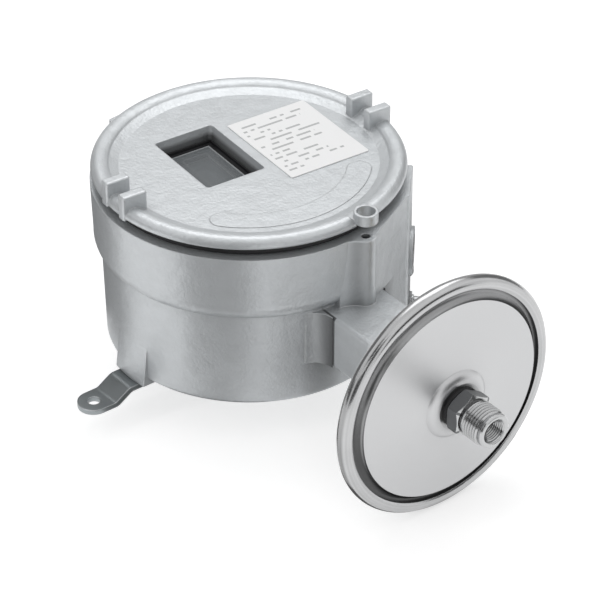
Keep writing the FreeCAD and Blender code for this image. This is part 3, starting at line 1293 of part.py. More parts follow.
def build_terminals():
    block = centred_box("terminal_body", (S.terminal_length, S.terminal_width, S.terminal_height),
                        (S.terminal_x, S.terminal_y, DECK))
    top = DECK + S.terminal_height
    wells = []
    ways = []
    screws = []
    for number in (-1, 0, 1):
        x = S.terminal_x + S.terminal_pitch * number
        word = {-1: "rear", 0: "middle", 1: "front"}[number]
        wells.append(cylinder("terminal_well_" + word, S.terminal_screw_radius + S.contact_gap,
                              S.terminal_well_depth + S.cut_overrun,
                              (x, S.terminal_y, top - S.terminal_well_depth)))
        ways.append(cylinder("terminal_way_" + word, S.terminal_wire_radius, S.terminal_width * 2,
                             (x, S.terminal_y - S.terminal_width, top - S.terminal_well_depth * 1.7), "Y"))
        shaft = cylinder("terminal_shaft_" + word, S.terminal_screw_radius, S.terminal_well_depth * 0.7,
                         (x, S.terminal_y, top - S.terminal_well_depth))
        slot = box("terminal_slot_" + word, (S.terminal_screw_radius * 3, S.spindle_slot_width / 2,
                                             S.terminal_well_depth * 0.4),
                   (x - S.terminal_screw_radius * 1.5, S.terminal_y - S.spindle_slot_width / 4,
                    top - S.terminal_well_depth * 0.5))
        screws.append(cut("terminal_screw_" + word, shaft, [slot]))
    node(cut("terminal_block", block, wells + ways))
    node(group("terminal_screws", screws))


def check_document():
    DOC.recompute()
    for thing in DOC.Objects:
        if "Invalid" in thing.State or "Error" in thing.State:
            raise RuntimeError("%s did not recompute: %s" % (thing.Label, thing.State))
    for thing in NODES:
        shape = thing.Shape
        if shape.isNull() or not shape.isValid() or not shape.Solids:
            raise RuntimeError("%s has no valid solid" % thing.Label)


def write_parts():
    os.makedirs("parts", exist_ok=True)
    for thing in NODES:
        thing.Shape.exportStep("parts/%s.step" % thing.Label)


build_housing()
build_feet()
build_lid()
build_window()
build_entries()
build_chamber()
build_push_rod()
build_connections()
build_chassis()
build_lever()
build_set_point()
build_switch()
build_terminals()
check_document()
write_parts()
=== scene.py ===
import logging
import math
from dataclasses import dataclass
from enum import Enum, IntEnum
from typing import Any, Iterable, Mapping, Optional, Sequence, Union

import bmesh
import bpy
from mathutils import Matrix, Vector


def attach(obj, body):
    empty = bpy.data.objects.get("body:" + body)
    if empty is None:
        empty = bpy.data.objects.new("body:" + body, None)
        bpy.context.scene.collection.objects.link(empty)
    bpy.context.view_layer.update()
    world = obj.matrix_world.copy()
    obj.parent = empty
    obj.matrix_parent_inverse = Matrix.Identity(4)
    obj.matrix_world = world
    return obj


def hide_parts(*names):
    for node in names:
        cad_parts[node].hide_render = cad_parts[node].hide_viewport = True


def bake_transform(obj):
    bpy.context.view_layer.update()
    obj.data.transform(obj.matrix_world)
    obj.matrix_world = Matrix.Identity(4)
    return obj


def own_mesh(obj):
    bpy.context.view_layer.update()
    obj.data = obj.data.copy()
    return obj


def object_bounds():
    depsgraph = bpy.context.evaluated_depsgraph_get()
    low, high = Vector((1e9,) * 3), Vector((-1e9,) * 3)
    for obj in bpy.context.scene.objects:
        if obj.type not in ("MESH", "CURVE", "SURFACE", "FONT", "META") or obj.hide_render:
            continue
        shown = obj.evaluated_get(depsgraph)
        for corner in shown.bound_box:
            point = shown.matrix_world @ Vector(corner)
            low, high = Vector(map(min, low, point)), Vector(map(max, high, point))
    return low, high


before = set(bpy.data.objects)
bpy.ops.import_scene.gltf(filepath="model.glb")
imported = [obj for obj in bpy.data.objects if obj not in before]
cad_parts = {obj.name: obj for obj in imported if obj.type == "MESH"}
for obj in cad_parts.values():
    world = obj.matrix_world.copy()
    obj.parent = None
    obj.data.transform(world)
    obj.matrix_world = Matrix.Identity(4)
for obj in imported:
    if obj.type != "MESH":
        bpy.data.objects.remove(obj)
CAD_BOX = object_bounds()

# Looks of a differential pressure switch: a cast screw-lid housing on strap feet, with a spun diaphragm
# chamber on its arm. Lengths are in millimetres unless a docstring says otherwise.

LOG = logging.getLogger("pressure_switch")
MM = 0.001
FULL_TURN = 2.0 * math.pi
NOISE_MIDDLE = 0.5
CHAMBER_AXIS_HEIGHT = 54.5

Colour = tuple[float, float, float]
Point = tuple[float, float, float]
Term = Union["Wire", float, Colour]


class Body(Enum):
    """The CAD bodies that the pieces of the scene ride on."""

    HOUSING = "housing"
    LID = "lid"
    PUSH_ROD = "push_rod"


class Facing(Enum):
    """Which way a screw's head looks."""

    UP = 0.0
    DOWN = math.pi


class ScrewSize(Enum):
    """A screw's shank radius, head radius and head height."""

    M3 = (1.47, 2.2, 1.8)
    M4 = (1.97, 3.5, 2.4)
    M6 = (2.97, 5.0, 3.2)


class Steel(IntEnum):
    """The steels of the process fitting, by material slot."""

    DARK = 0
    BRIGHT = 1


class Grain(Enum):
    """How a metal surface was worked."""

    SPUN = "rings about the chamber axis"
    DRAWN = "streaks along the arm"
    PLATED = "cloudy plating"


class Wire:
    """An output of a node that takes part in Python arithmetic."""

    def __init__(self, graph: "Graph", socket: bpy.types.NodeSocket) -> None:
        """Keep the socket with the graph that it belongs to."""
        self.graph = graph
        self.socket = socket

    def math(self, operation: str, *terms: Term) -> "Wire":
        """Return the result of a new Math node with these terms."""
        return self.graph.node("ShaderNodeMath", {"operation": operation}, dict(enumerate(terms)))

    def __add__(self, other: Term) -> "Wire":
        """Return the sum."""
        return self.math("ADD", self, other)

    def __sub__(self, other: Term) -> "Wire":
        """Return the difference."""
        return self.math("SUBTRACT", self, other)

    def __rsub__(self, other: Term) -> "Wire":
        """Return the difference from a plain number."""
        return self.math("SUBTRACT", other, self)

    def __mul__(self, other: Term) -> "Wire":
        """Return the product."""
        return self.math("MULTIPLY", self, other)

    def __truediv__(self, other: Term) -> "Wire":
        """Return the quotient."""
        return self.math("DIVIDE", self, other)

    def __rtruediv__(self, other: Term) -> "Wire":
        """Return the quotient of a plain number."""
        return self.math("DIVIDE", other, self)

    def __lt__(self, other: Term) -> "Wire":
        """Return 1 where this is smaller."""
        return self.math("LESS_THAN", self, other)

    def __gt__(self, other: Term) -> "Wire":
        """Return 1 where this is larger."""
        return self.math("GREATER_THAN", self, other)

    def __abs__(self) -> "Wire":
        """Return the size without the sign."""
        return self.math("ABSOLUTE", self)

    __radd__ = __add__
    __rmul__ = __mul__

    def floor(self) -> "Wire":
        """Return the whole number below."""
        return self.math("FLOOR", self)

    def fraction(self) -> "Wire":
        """Return what is left above the whole number."""
        return self.math("FRACT", self)

    def sine(self) -> "Wire":
        """Return the sine."""
        return self.math("SINE", self)

    def root(self) -> "Wire":
        """Return the square root."""
        return self.math("SQRT", self)

    def larger(self, other: Term) -> "Wire":
        """Return the larger of the two."""
        return self.math("MAXIMUM", self, other)

    def smaller(self, other: Term) -> "Wire":
        """Return the smaller of the two."""
        return self.math("MINIMUM", self, other)

    def clamped(self, low: float = 0.0, high: float = 1.0) -> "Wire":
        """Return the value held between two limits."""
        return self.larger(low).smaller(high)


class Graph:
    """A node tree that is written as Python expressions."""

    def __init__(self, tree: bpy.types.NodeTree) -> None:
        """Start from an empty tree."""
        self.tree = tree
        self.tree.nodes.clear()

    def node(self, kind: str, settings: Optional[Mapping[str, Any]] = None,
             sockets: Optional[Mapping[Union[int, str], Any]] = None,
             output: Union[int, str] = 0) -> Wire:
        """Add a node.

        Args:
            kind: The node's type.
            settings: Properties, which are set first.
            sockets: Values or wires for its inputs, by name or number.
            output: Which output to hand back.

        Returns:
            The chosen output, or the first input for a node that has no output.
        """
        made = self.tree.nodes.new(kind)
        for name, value in (settings or {}).items():
            setattr(made, name, value)
        for key, value in (sockets or {}).items():
            entry = made.inputs[key]
            if isinstance(value, Wire):
                self.tree.links.new(value.socket, entry)
            else:
                entry.default_value = value
        return Wire(self, made.outputs[output] if made.outputs else made.inputs[0])

    def split(self, vector: Wire) -> tuple[Wire, ...]:
        """Return the three parts of a vector."""
        parts = self.node("ShaderNodeSeparateXYZ", sockets={0: vector}).socket.node
        return tuple(Wire(self, socket) for socket in parts.outputs)


class Shader(Graph):
    """A material and its nodes."""

    EDGE_SAMPLES = 6
    EDGE_GAIN = 7.0
    HOLLOW_SAMPLES = 8
    HOLLOW_GAIN = 1.5

    def __init__(self, name: str) -> None:
        """Make an empty material.

        Args:
            name: The material's name.
        """
        self.material = bpy.data.materials.new(name)
        self.material.use_nodes = True
        super().__init__(self.material.node_tree)

    def position(self) -> Wire:
        """Return the place on the piece in metres."""
        return self.node("ShaderNodeTexCoord", output="Object")

    def place(self) -> tuple[Wire, ...]:
        """Return the three parts of the place on the piece."""
        return tuple(part / MM for part in self.split(self.position()))

    def place_about(self, centre: Point, turn: float) -> tuple[Wire, ...]:
        """Read the place on the piece about a centre.

        Args:
            centre: The centre.
            turn: How far the axes are turned about Z, in degrees.

        Returns:
            The three parts of the place, on the turned axes.
        """
        local = self.node("ShaderNodeMapping", {"vector_type": "TEXTURE"}, {
            "Vector": self.position(), "Location": Vector(centre) * MM,
            "Rotation": (0.0, 0.0, math.radians(turn))})
        return tuple(part / MM for part in self.split(local))

    def noise(self, where: Wire, size: float, detail: float = 2.0) -> Wire:
        """Make soft noise.

        Args:
            where: The place to read it at, in metres.
            size: The width of its features.
            detail: How many finer layers it has.

        Returns:
            A value about 0.5.
        """
        return self.node("ShaderNodeTexNoise", sockets={
            "Vector": where, "Scale": 1.0 / (size * MM), "Detail": detail})

    def chance(self, seed: Wire) -> Wire:
        """Return a fixed random number for each value of the seed."""
        return self.node("ShaderNodeTexWhiteNoise", {"noise_dimensions": "1D"}, {"W": seed})

    def blend(self, mask: Term, low: Union[Wire, Colour], high: Union[Wire, Colour]) -> Wire:
        """Return two colours mixed by a mask."""
        ends = [end if isinstance(end, Wire) else (*end, 1.0) for end in (low, high)]
        return self.node("ShaderNodeMix", {"data_type": "RGBA"}, {0: mask, 6: ends[0], 7: ends[1]}, 2)

    def soft_edges(self, radius: float) -> tuple[Wire, Wire]:
        """Round the sharp edges of a surface in its shading.

        Args:
            radius: The edge radius.

        Returns:
            The rounded normal, and a mask that is 1 on the edges.
        """
        soft = self.node("ShaderNodeBevel", {"samples": self.EDGE_SAMPLES}, {"Radius": radius * MM})
        plain = self.node("ShaderNodeNewGeometry", output="Normal")
        match = self.node("ShaderNodeVectorMath", {"operation": "DOT_PRODUCT"},
                          {0: soft, 1: plain}, "Value")
        return soft, ((1.0 - match) * self.EDGE_GAIN).clamped()

    def hollow(self, reach: float) -> Wire:
        """Find the creases of a surface.

        Args:
            reach: How far away a neighbouring surface counts.

        Returns:
            A mask that is 1 deep in a crease.
        """
        bare = self.node("ShaderNodeAmbientOcclusion", {"samples": self.HOLLOW_SAMPLES},
                         {"Distance": reach * MM}, "AO")
        return ((1.0 - bare) * self.HOLLOW_GAIN).clamped()

    def bump(self, height: Wire, strength: float, depth: float, normal: Optional[Wire] = None) -> Wire:
        """Raise a surface in its shading.

        Args:
            height: The height field.
            strength: How strong it is.
            depth: How deep it is.
            normal: The normal that it starts from.

        Returns:
            The new normal.
        """
        sockets = {"Strength": strength, "Distance": depth * MM, "Height": height}
        if normal is not None:
            sockets["Normal"] = normal
        return self.node("ShaderNodeBump", sockets=sockets)

    def finish(self, surface: Wire) -> bpy.types.Material:
        """Join a shader to the material's output and return the material."""
        self.node("ShaderNodeOutputMaterial", sockets={"Surface": surface})
        return self.material

    def principled(self, **sockets: Any) -> bpy.types.Material:
        """Close the material with one principled shader.

        Args:
            sockets: Inputs of the shader, with underscores for spaces.

        Returns:
            The material.
        """
        named = {key.replace("_", " ").title().replace("Ior", "IOR"): value
                 for key, value in sockets.items()}
        return self.finish(self.node("ShaderNodeBsdfPrincipled", sockets=named))


class Recipe(Graph):
    """A Geometry Nodes tree with named inputs."""

    def __init__(self, name: str, inputs: Mapping[str, str]) -> None:
        """Open the tree.

        Args:
            name: The tree's name.
            inputs: The socket type of each named input.
        """
        super().__init__(bpy.data.node_groups.new(name, "GeometryNodeTree"))
        face = self.tree.interface
        face.new_socket("Geometry", in_out="INPUT", socket_type="NodeSocketGeometry")
        face.new_socket("Geometry", in_out="OUTPUT", socket_type="NodeSocketGeometry")
        self.keys = {label: face.new_socket(label, in_out="INPUT", socket_type=kind).identifier
                     for label, kind in inputs.items()}
        self.source = self.tree.nodes.new("NodeGroupInput")

    def given(self, label: str) -> Wire:
        """Return a named input."""
        return Wire(self, self.source.outputs[label])

    def close(self, geometry: Wire) -> None:
        """End the tree with real geometry in the material that is given.

        Args:
            geometry: What the tree has made.
        """
        real = self.node("GeometryNodeRealizeInstances", sockets={0: geometry})
        dressed = self.node("GeometryNodeSetMaterial", sockets={
            "Geometry": real, "Material": self.given("Material")})
        self.node("NodeGroupOutput", sockets={0: dressed})

    def bake(self, name: str, values: Mapping[str, Any],
             points: Sequence[Point] = ()) -> bpy.types.Mesh:
        """Run the tree and keep its result as a plain mesh.

        Args:
            name: The mesh's name.
            values: A value for each named input.
            points: Vertices of the mesh that the tree starts from.

        Returns:
            The result, in the units of the values.
        """
        start = bpy.data.meshes.new(name + "_start")
        start.from_pydata([Vector(point) for point in points], [], [])
        maker = add_object(name + "_maker", start)
        modifier = maker.modifiers.new("recipe", "NODES")
        modifier.node_group = self.tree
        for label, value in values.items():
            modifier[self.keys[label]] = value
        shape = maker.evaluated_get(bpy.context.evaluated_depsgraph_get())
        mesh = bpy.data.meshes.new_from_object(shape)
        mesh.name = name
        maker.modifiers.remove(modifier)
        bpy.data.objects.remove(maker)
        return mesh


def shade(colour: Colour, factor: float, lift: float = 0.0) -> Colour:
    """Return a colour made darker or lighter, at most white."""
    return tuple(min(1.0, channel * factor + lift) for channel in colour)


@dataclass(frozen=True)
class Corner:
    """An upright corner of a casting where shade is painted, deepest on the line at x and y."""

    x: float
    y: float
    reach: float
    bottom: float
    top: float
    end: float
    depth: float


@dataclass(frozen=True)
class CastPaint:
    """Silver-grey stove enamel over a sand casting, with painted shade in its corners and creases and below
    a level where openings sink in.
    """

    name: str
    sink_level: float
    sink_depth: float = 4.5
    sink_radius: float = 62.0
    sink_shade_share: float = 0.75
    colour: Colour = (0.6, 0.622, 0.638)
    rubbed_highlight: Colour = (0.74, 0.75, 0.757)
    painted_shade_tone: Colour = (0.12, 0.123, 0.126)
    mottle: float = 0.07
    roughness: float = 0.41
    gloss_spread: float = 0.25
    metallic: float = 0.56
    peel: float = 1.7
    peel_share: float = 0.6
    lump: float = 8.0
    relief: float = 0.7
    strength: float = 0.5
    edge: float = 0.9
    rub_and_highlight: float = 0.05
    rub_and_highlight_spread: float = 0.4
    crease: float = 8.0
    crease_shade_share: float = 0.36
    crease_shade_top: float = 1000.0
    corners: tuple[Corner, ...] = ()

    def corner_shade(self, shader: Shader) -> list[Wire]:
        """Find where shade is painted in the casting's corners.

        Args:
            shader: The material's nodes.

        Returns:
            A mask for each corner, larger deep in it.
        """
        x, y, level = shader.place()
        masks = []
        for corner in self.corners:
            out, side = x - corner.x, y - corner.y
            near = (1.0 - (out * out + side * side).root() / corner.reach).clamped()
            held = (level > corner.bottom) * (level < corner.top) * (x < corner.end)
            masks.append(near * held * corner.depth)
        return masks

    def make(self) -> bpy.types.Material:
        """Make the paint.

        Returns:
            The material, with orange peel, casting lumps, edges lightened as wear and as painted highlight,
            and painted shade in the creases, the corners and the sunk openings.
        """
        shader = Shader(self.name)
        where = shader.position()
        peel = shader.noise(where, self.peel)
        lump = shader.noise(where, self.lump, 3.0)
        soft, edge = shader.soft_edges(self.edge)
        cloudy = shader.blend(lump, shade(self.colour, 1.0 - self.mottle),
                              shade(self.colour, 1.0 + self.mottle))
        # Edges are lightened as rubbed wear and as a painted highlight.
        edge_lightened = shader.blend(edge * (self.rub_and_highlight + lump * self.rub_and_highlight_spread), cloudy, self.rubbed_highlight)
        x, y, level = shader.place()
        # Shade is painted into the creases, the corners and below the sink level in the middle, in the
        # painted shade tone.
        middle = (x * x + y * y).root() < self.sink_radius
        sunk_shade = ((self.sink_level - level) / self.sink_depth).clamped() * middle
        crease_shade = shader.hollow(self.crease) * (level < self.crease_shade_top)
        painted_shade_mask = sum(self.corner_shade(shader), crease_shade * self.crease_shade_share + sunk_shade * self.sink_shade_share)
        with_painted_shade = shader.blend(painted_shade_mask.clamped(), edge_lightened, self.painted_shade_tone)
        return shader.principled(
            base_color=with_painted_shade, roughness=self.roughness + (peel - NOISE_MIDDLE) * self.gloss_spread,
            normal=shader.bump(peel * self.peel_share + lump, self.strength, self.relief, soft),
            metallic=self.metallic)


@dataclass(frozen=True)
class ShadeRing:
    """A ring about the chamber's axis where shade is painted."""

    inner: float
    outer: float
    depth: float
    blur: float = 0.6


@dataclass(frozen=True)
class Metal:
    """Bare or plated metal with the grain of its making, and painted shade in its creases and rings. The
    rings' painted shade is darker low down.
    """

    name: str
    colour: Colour
    roughness: float
    grain: Grain
    size: float = 0.8
    depth: float = 0.03
    strength: float = 0.3
    edge: float = 0.25
    contrast: float = 0.1
    crease: float = 3.0
    crease_shade_share: float = 0.85
    shaded_tone: float = 0.12
    most_shade: float = 0.96
    wear: float = 0.5
    bare: Optional[Colour] = None
    rings: tuple[ShadeRing, ...] = ()
    ring_share: float = 0.62
    ring_least: float = 0.2
    ring_fade: float = 0.0085
    cloud: float = 22.0
    cloud_share: float = 0.4
    cloud_gloss: float = 0.2
    grain_gloss: float = 3.0
    streak: float = 0.06
    plating: float = 6.0

    def radius(self, shader: Shader) -> Wire:
        """Return the distance from the chamber's axis."""
        _, y, z = shader.place()
        return (y * y + (z - CHAMBER_AXIS_HEIGHT) * (z - CHAMBER_AXIS_HEIGHT)).root()

    def shade_mask(self, shader: Shader) -> Wire:
        """Find where shade is painted on the metal.

        Args:
            shader: The material's nodes.

        Returns:
            A mask that is larger in the creases and the shaded rings.
        """
        mask = shader.hollow(self.crease) * self.crease_shade_share
        _, _, level = shader.place()
        # The rings' painted shade is deeper towards the bottom of the chamber.
        low = (self.ring_share - (level - CHAMBER_AXIS_HEIGHT) * self.ring_fade).clamped(self.ring_least)
        for ring in self.rings:
            middle, half = (ring.inner + ring.outer) / 2.0, (ring.outer - ring.inner) / 2.0
            near = ((half - abs(self.radius(shader) - middle)) / ring.blur).clamped()
            mask = mask + near * low * ring.depth
        return mask.clamped(0.0, self.most_shade)

    def pattern(self, shader: Shader) -> Wire:
        """Draw the grain.

        Args:
            shader: The material's nodes.

        Returns:
            A value about 0.5.
        """
        if self.grain is Grain.SPUN:
            rings = self.radius(shader) / self.size
            return shader.node("ShaderNodeTexNoise", {"noise_dimensions": "1D"}, {"W": rings, "Scale": 1.0})
        where = shader.position()
        if self.grain is Grain.DRAWN:
            streaks = shader.node("ShaderNodeMapping", sockets={
                "Vector": where, "Scale": (self.streak, 1.0, 1.0)})
            return shader.noise(streaks, self.size)
        return shader.noise(where, self.size * self.plating, 4.0)

    def make(self) -> bpy.types.Material:
        """Make the metal.

        Returns:
            The material, with grain in its tone, gloss and height.
        """
        shader = Shader(self.name)
        grain = self.pattern(shader)
        cloud = shader.noise(shader.position(), self.cloud, 3.0)
        soft, edge = shader.soft_edges(self.edge)
        bright = shade(self.colour, 1.0 + self.contrast)
        tone = shader.blend(grain * (1.0 - self.cloud_share) + cloud * self.cloud_share,
                            shade(self.colour, 1.0 - self.contrast), bright)
        edge_lightened = shader.blend(edge * self.wear, tone, self.bare or bright)
        # Painted shade in the creases and rings darkens the metal.
        with_painted_shade = shader.blend(self.shade_mask(shader), edge_lightened, shade(self.colour, self.shaded_tone))
        uneven = ((grain - NOISE_MIDDLE) * (self.contrast * self.grain_gloss)
                  + (cloud - NOISE_MIDDLE) * self.cloud_gloss)
        return shader.principled(base_color=with_painted_shade, metallic=1.0, roughness=self.roughness * (1.0 + uneven),
                                 normal=shader.bump(grain, self.strength, self.depth, soft))


@dataclass(frozen=True)
class Moulded:
    """Moulded plastic or rubber with a fine skin."""

    name: str
    colour: Colour
    roughness: float
    skin: float = 0.5
    relief: float = 0.08
    strength: float = 0.25
    pale_gain: float = 1.25
    pale_lift: float = 0.015
    cloud: float = 15.0
    cloud_share: float = 0.5
    edge: float = 0.3
    edge_share: float = 0.6
    gloss_spread: float = 0.2

    def make(self) -> bpy.types.Material:
        """Make the plastic or rubber.

        Returns:
            The material, with a fine skin and paler edges.
        """
        shader = Shader(self.name)
        where = shader.position()
        skin = shader.noise(where, self.skin)
        soft, edge = shader.soft_edges(self.edge)
        pale = shade(self.colour, self.pale_gain, self.pale_lift)
        tone = shader.blend(shader.noise(where, self.cloud) * self.cloud_share, self.colour, pale)
        return shader.principled(base_color=shader.blend(edge * self.edge_share, tone, pale),
                                 roughness=self.roughness + (skin - NOISE_MIDDLE) * self.gloss_spread,
                                 normal=shader.bump(skin, self.strength, self.relief, soft))


@dataclass(frozen=True)
class WovenMembrane:
    """Rubber over a woven cloth."""

    name: str = "woven_membrane"
    colour: Colour = (0.05, 0.035, 0.028)
    pale_gain: float = 1.8
    pitch: float = 0.9
    relief: float = 0.12
    strength: float = 0.5
    roughness: float = 0.55
    gloss_spread: float = 0.2

    def make(self) -> bpy.types.Material:
        """Make the membrane.

        Returns:
            The material, with the weave in its tone and height.
        """
        shader = Shader(self.name)
        _, y, z = shader.place()
        turn = FULL_TURN / self.pitch
        weave = (y * turn).sine() * (z * turn).sine() * 0.5 + 0.5
        pale = shade(self.colour, self.pale_gain)
        return shader.principled(base_color=shader.blend(weave, self.colour, pale),
                                 roughness=self.roughness + weave * self.gloss_spread,
                                 normal=shader.bump(weave, self.strength, self.relief))


@dataclass(frozen=True)
class SightGlass:
    """Thick flat glass with a faint film of dust and a black seal round its clear field."""

    name: str = "sight_glass"
    centre: Point = (-17.29, -13.63, 110.0)
    turn: float = -4.0
    clear_length: float = 42.0
    clear_width: float = 25.0
    inset: float = 5.0
    line: float = 0.5
    line_share: float = 0.6
    inner_line_share: float = 0.4
    colour: Colour = (0.19, 0.205, 0.215)
    seal: Colour = (0.01, 0.01, 0.011)
    line_tone: Colour = (0.5, 0.52, 0.53)
    alpha: float = 0.5
    dust: float = 11.0
    dust_gain: float = 1.6
    dust_share: float = 0.12
    roughness: float = 0.04
    gloss_spread: float = 0.05
    ior: float = 1.5

    def make(self) -> bpy.types.Material:
        """Make the glass.

        Returns:
            The material, a little denser where dust lies, with pale lines along its edges.
        """
        shader = Shader(self.name)
        along, across, _ = shader.place_about(self.centre, self.turn)
        edge = (abs(along) - self.clear_length / 2.0).larger(abs(across) - self.clear_width / 2.0)
        inside = edge < 0.0
        lines = (abs(edge) < self.line) + (abs(edge + self.inset) < self.line) * self.inner_line_share
        dust = shader.noise(shader.position(), self.dust, 4.0)
        film = shader.blend(dust, self.colour, shade(self.colour, self.dust_gain))
        field = shader.blend(lines * self.line_share, shader.blend(inside, self.seal, film), self.line_tone)
        clear = 1.0 - self.alpha + (dust - NOISE_MIDDLE) * self.dust_share
        return shader.principled(base_color=field, roughness=self.roughness + dust * self.gloss_spread,
                                 alpha=1.0 - inside * clear, ior=self.ior)


@dataclass(frozen=True)
class PrintedPlate:
    """A white plate with plain grey bars in place of print. Shares are of its width or a row's height."""

    name: str = "printed_plate"
    centre: Point = (-2.09, 34.63, 114.5)
    turn: float = -4.0
    width: float = 50.0
    height: float = 64.0
    rows: float = 14.0
    columns: float = 22.0
    bar: float = 0.17
    shift: float = 5.0
    gaps: float = 0.36
    reach_spread: float = 0.62
    reach_back: float = 0.2
    half_across: float = 0.44
    half_down: float = 0.45
    row_seed: float = 31.0
    paper: Colour = (0.86, 0.862, 0.865)
    ink: Colour = (0.36, 0.365, 0.37)
    ink_share: float = 0.8
    grain: float = 0.7
    grain_tone: float = 0.985
    relief: float = 0.05
    strength: float = 0.06
    edge: float = 0.2
    roughness: float = 0.38
    gloss_spread: float = 0.1

    def make(self) -> bpy.types.Material:
        """Make the plate.

        Returns:
            The material, with rows of bars of uneven length inside a margin.
        """
        shader = Shader(self.name)
        down, across, _ = shader.place_about(self.centre, self.turn)
        across, down = across / self.width, down / self.height
        step = (down + 0.5) * self.rows
        row = step.floor()
        bar = abs(step.fraction() - 0.5) < self.bar
        column = (across + 0.5) * self.columns + shader.chance(row) * self.shift
        word = shader.chance(column.floor() + row * self.row_seed) > self.gaps
        reach = across < shader.chance(row + 0.5) * self.reach_spread - self.reach_back
        inside = (abs(across) < self.half_across) * (abs(down) < self.half_down)
        grain = shader.noise(shader.position(), self.grain)
        paper = shader.blend(grain, shade(self.paper, self.grain_tone), self.paper)
        soft, _ = shader.soft_edges(self.edge)
        return shader.principled(
            base_color=shader.blend(bar * word * reach * inside * self.ink_share, paper, self.ink),
            roughness=self.roughness + grain * self.gloss_spread,
            normal=shader.bump(grain, self.strength, self.relief, soft))


@dataclass(frozen=True)
class ScalePrint:
    """A painted scale plate with fine and long ticks beside its slot."""

    name: str = "scale_print"
    start: float = -15.0
    travel: float = 18.0
    middle: float = -14.0
    step: float = 1.0
    group: float = 5.0
    tick: float = 0.08
    long_tick: float = 0.09
    slack: float = 0.3
    slot: float = 3.0
    tick_end: float = 7.0
    long_end: float = 10.0
    paper: Colour = (0.62, 0.63, 0.64)
    ink: Colour = (0.03, 0.03, 0.035)
    grain: float = 0.9
    relief: float = 0.05
    strength: float = 0.1
    roughness: float = 0.42
    gloss_spread: float = 0.12

    def make(self) -> bpy.types.Material:
        """Make the scale.

        Returns:
            The material, with a tick at each step and a longer one at each group.
        """
        shader = Shader(self.name)
        x, y, _ = shader.place()
        along = (x - self.start) / self.step
        side = abs(y - self.middle)
        line = abs(along.fraction() - 0.5) > 0.5 - self.tick
        long_line = abs((along / self.group).fraction() - 0.5) > 0.5 - self.long_tick / self.group
        inside = (along > -self.slack) * (along < self.travel / self.step + self.slack) * (side > self.slot)
        ticks = (line * (side < self.tick_end) + long_line * (side < self.long_end)).clamped()
        grain = shader.noise(shader.position(), self.grain)
        return shader.principled(base_color=shader.blend(inside * ticks, self.paper, self.ink),
                                 roughness=self.roughness + grain * self.gloss_spread,
                                 normal=shader.bump(grain, self.strength, self.relief))


class Palette:
    """Every finish of the object, each made once."""

    def __init__(self) -> None:
        """Make the materials."""
        # Shade is painted into the corners beside the arm and beside the ear column.
        arm_corner = {"x": 89.0, "reach": 17.0, "bottom": -20.0, "top": 66.4, "end": 90.6, "depth": 0.95}
        self.body_paint = CastPaint("body_paint", -100.0, crease_shade_top=105.0, corners=(
            Corner(y=-13.1, **arm_corner), Corner(y=26.5, **arm_corner),
            Corner(x=85.5, y=7.5, reach=9.0, bottom=66.8, top=106.4, end=200.0, depth=0.9))).make()
        # The lid's paint gets painted shade below its sink level, in the window's recess.
        self.lid_paint = CastPaint("lid_paint", 111.4, 2.4).make()
        self.zinc = Metal("strap_zinc", (0.33, 0.354, 0.364), 0.34, Grain.PLATED, edge=1.0, wear=0.85,
                          bare=(0.72, 0.73, 0.74)).make()
        self.bright_zinc = Metal("screw_zinc", (0.52, 0.53, 0.54), 0.28, Grain.PLATED, 0.5).make()
        self.sheet = Metal("bracket_sheet", (0.50, 0.51, 0.52), 0.32, Grain.DRAWN).make()
        # The rings on the dish and the bead are painted shade and dark reflection, in the groove and on the
        # bead's outer edge.
        self.spun = Metal("spun_dish", (0.565, 0.569, 0.576), 0.3, Grain.SPUN, 0.5, 0.004, contrast=0.03,
                          crease=9.0, rings=(ShadeRing(57.0, 62.0, 1.1),)).make()
        self.bead = Metal("rolled_bead", (0.5, 0.503, 0.508), 0.2, Grain.SPUN, 1.2, 0.05, contrast=0.3,
                          crease=5.0, rings=(ShadeRing(67.7, 70.0, 0.75),)).make()
        self.dark_steel = Metal("hexagon_steel", (0.17, 0.174, 0.178), 0.3, Grain.DRAWN, 0.4).make()
        self.bright_steel = Metal("turned_steel", (0.52, 0.525, 0.53), 0.2, Grain.DRAWN, 0.4,
                                  crease=1.6).make()
        self.spring = Metal("spring_wire", (0.36, 0.37, 0.39), 0.25, Grain.DRAWN, 0.3).make()
        self.brass = Metal("turned_brass", (0.60, 0.43, 0.18), 0.25, Grain.DRAWN, 0.4).make()
        self.rubber = Moulded("seal_rubber", (0.012, 0.012, 0.013), 0.62).make()
        self.frame = Moulded("frame_enamel", (0.05, 0.052, 0.055), 0.45).make()
        self.black_plastic = Moulded("switch_case", (0.02, 0.02, 0.022), 0.4).make()
        self.grey_plastic = Moulded("terminal_case", (0.3, 0.31, 0.31), 0.45).make()
        self.red_plastic = Moulded("pointer_red", (0.45, 0.03, 0.02), 0.38).make()
        self.membrane = WovenMembrane().make()
        self.glass = SightGlass().make()
        self.label = PrintedPlate().make()
        self.scale = ScalePrint().make()


def add_object(name: str, data: bpy.types.ID) -> bpy.types.Object:
    """Add an object to the scene.

    Args:
        name: Its name.
        data: The mesh, lamp or camera that it shows.

    Returns:
        The object.
    """
    made = bpy.data.objects.new(name, data)
    bpy.context.scene.collection.objects.link(made)
    return made


def mesh_of(name: str, skin: bmesh.types.BMesh) -> bpy.types.Mesh:
    """Turn a skin into a mesh, and let the skin go.

    Args:
        name: The mesh's name.
        skin: The skin.

    Returns:
        The mesh, in the skin's units.
    """
    mesh = bpy.data.meshes.new(name)
    skin.to_mesh(mesh)
    skin.free()
    return mesh


def dress(material: bpy.types.Material, *nodes: str) -> None:
    """Give CAD nodes a finish.

    Args:
        material: The finish.
        nodes: The nodes' names.
    """
    for node in nodes:
        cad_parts[node].material_slots[0].material = material
        LOG.info("%s wears %s", node, material.name)


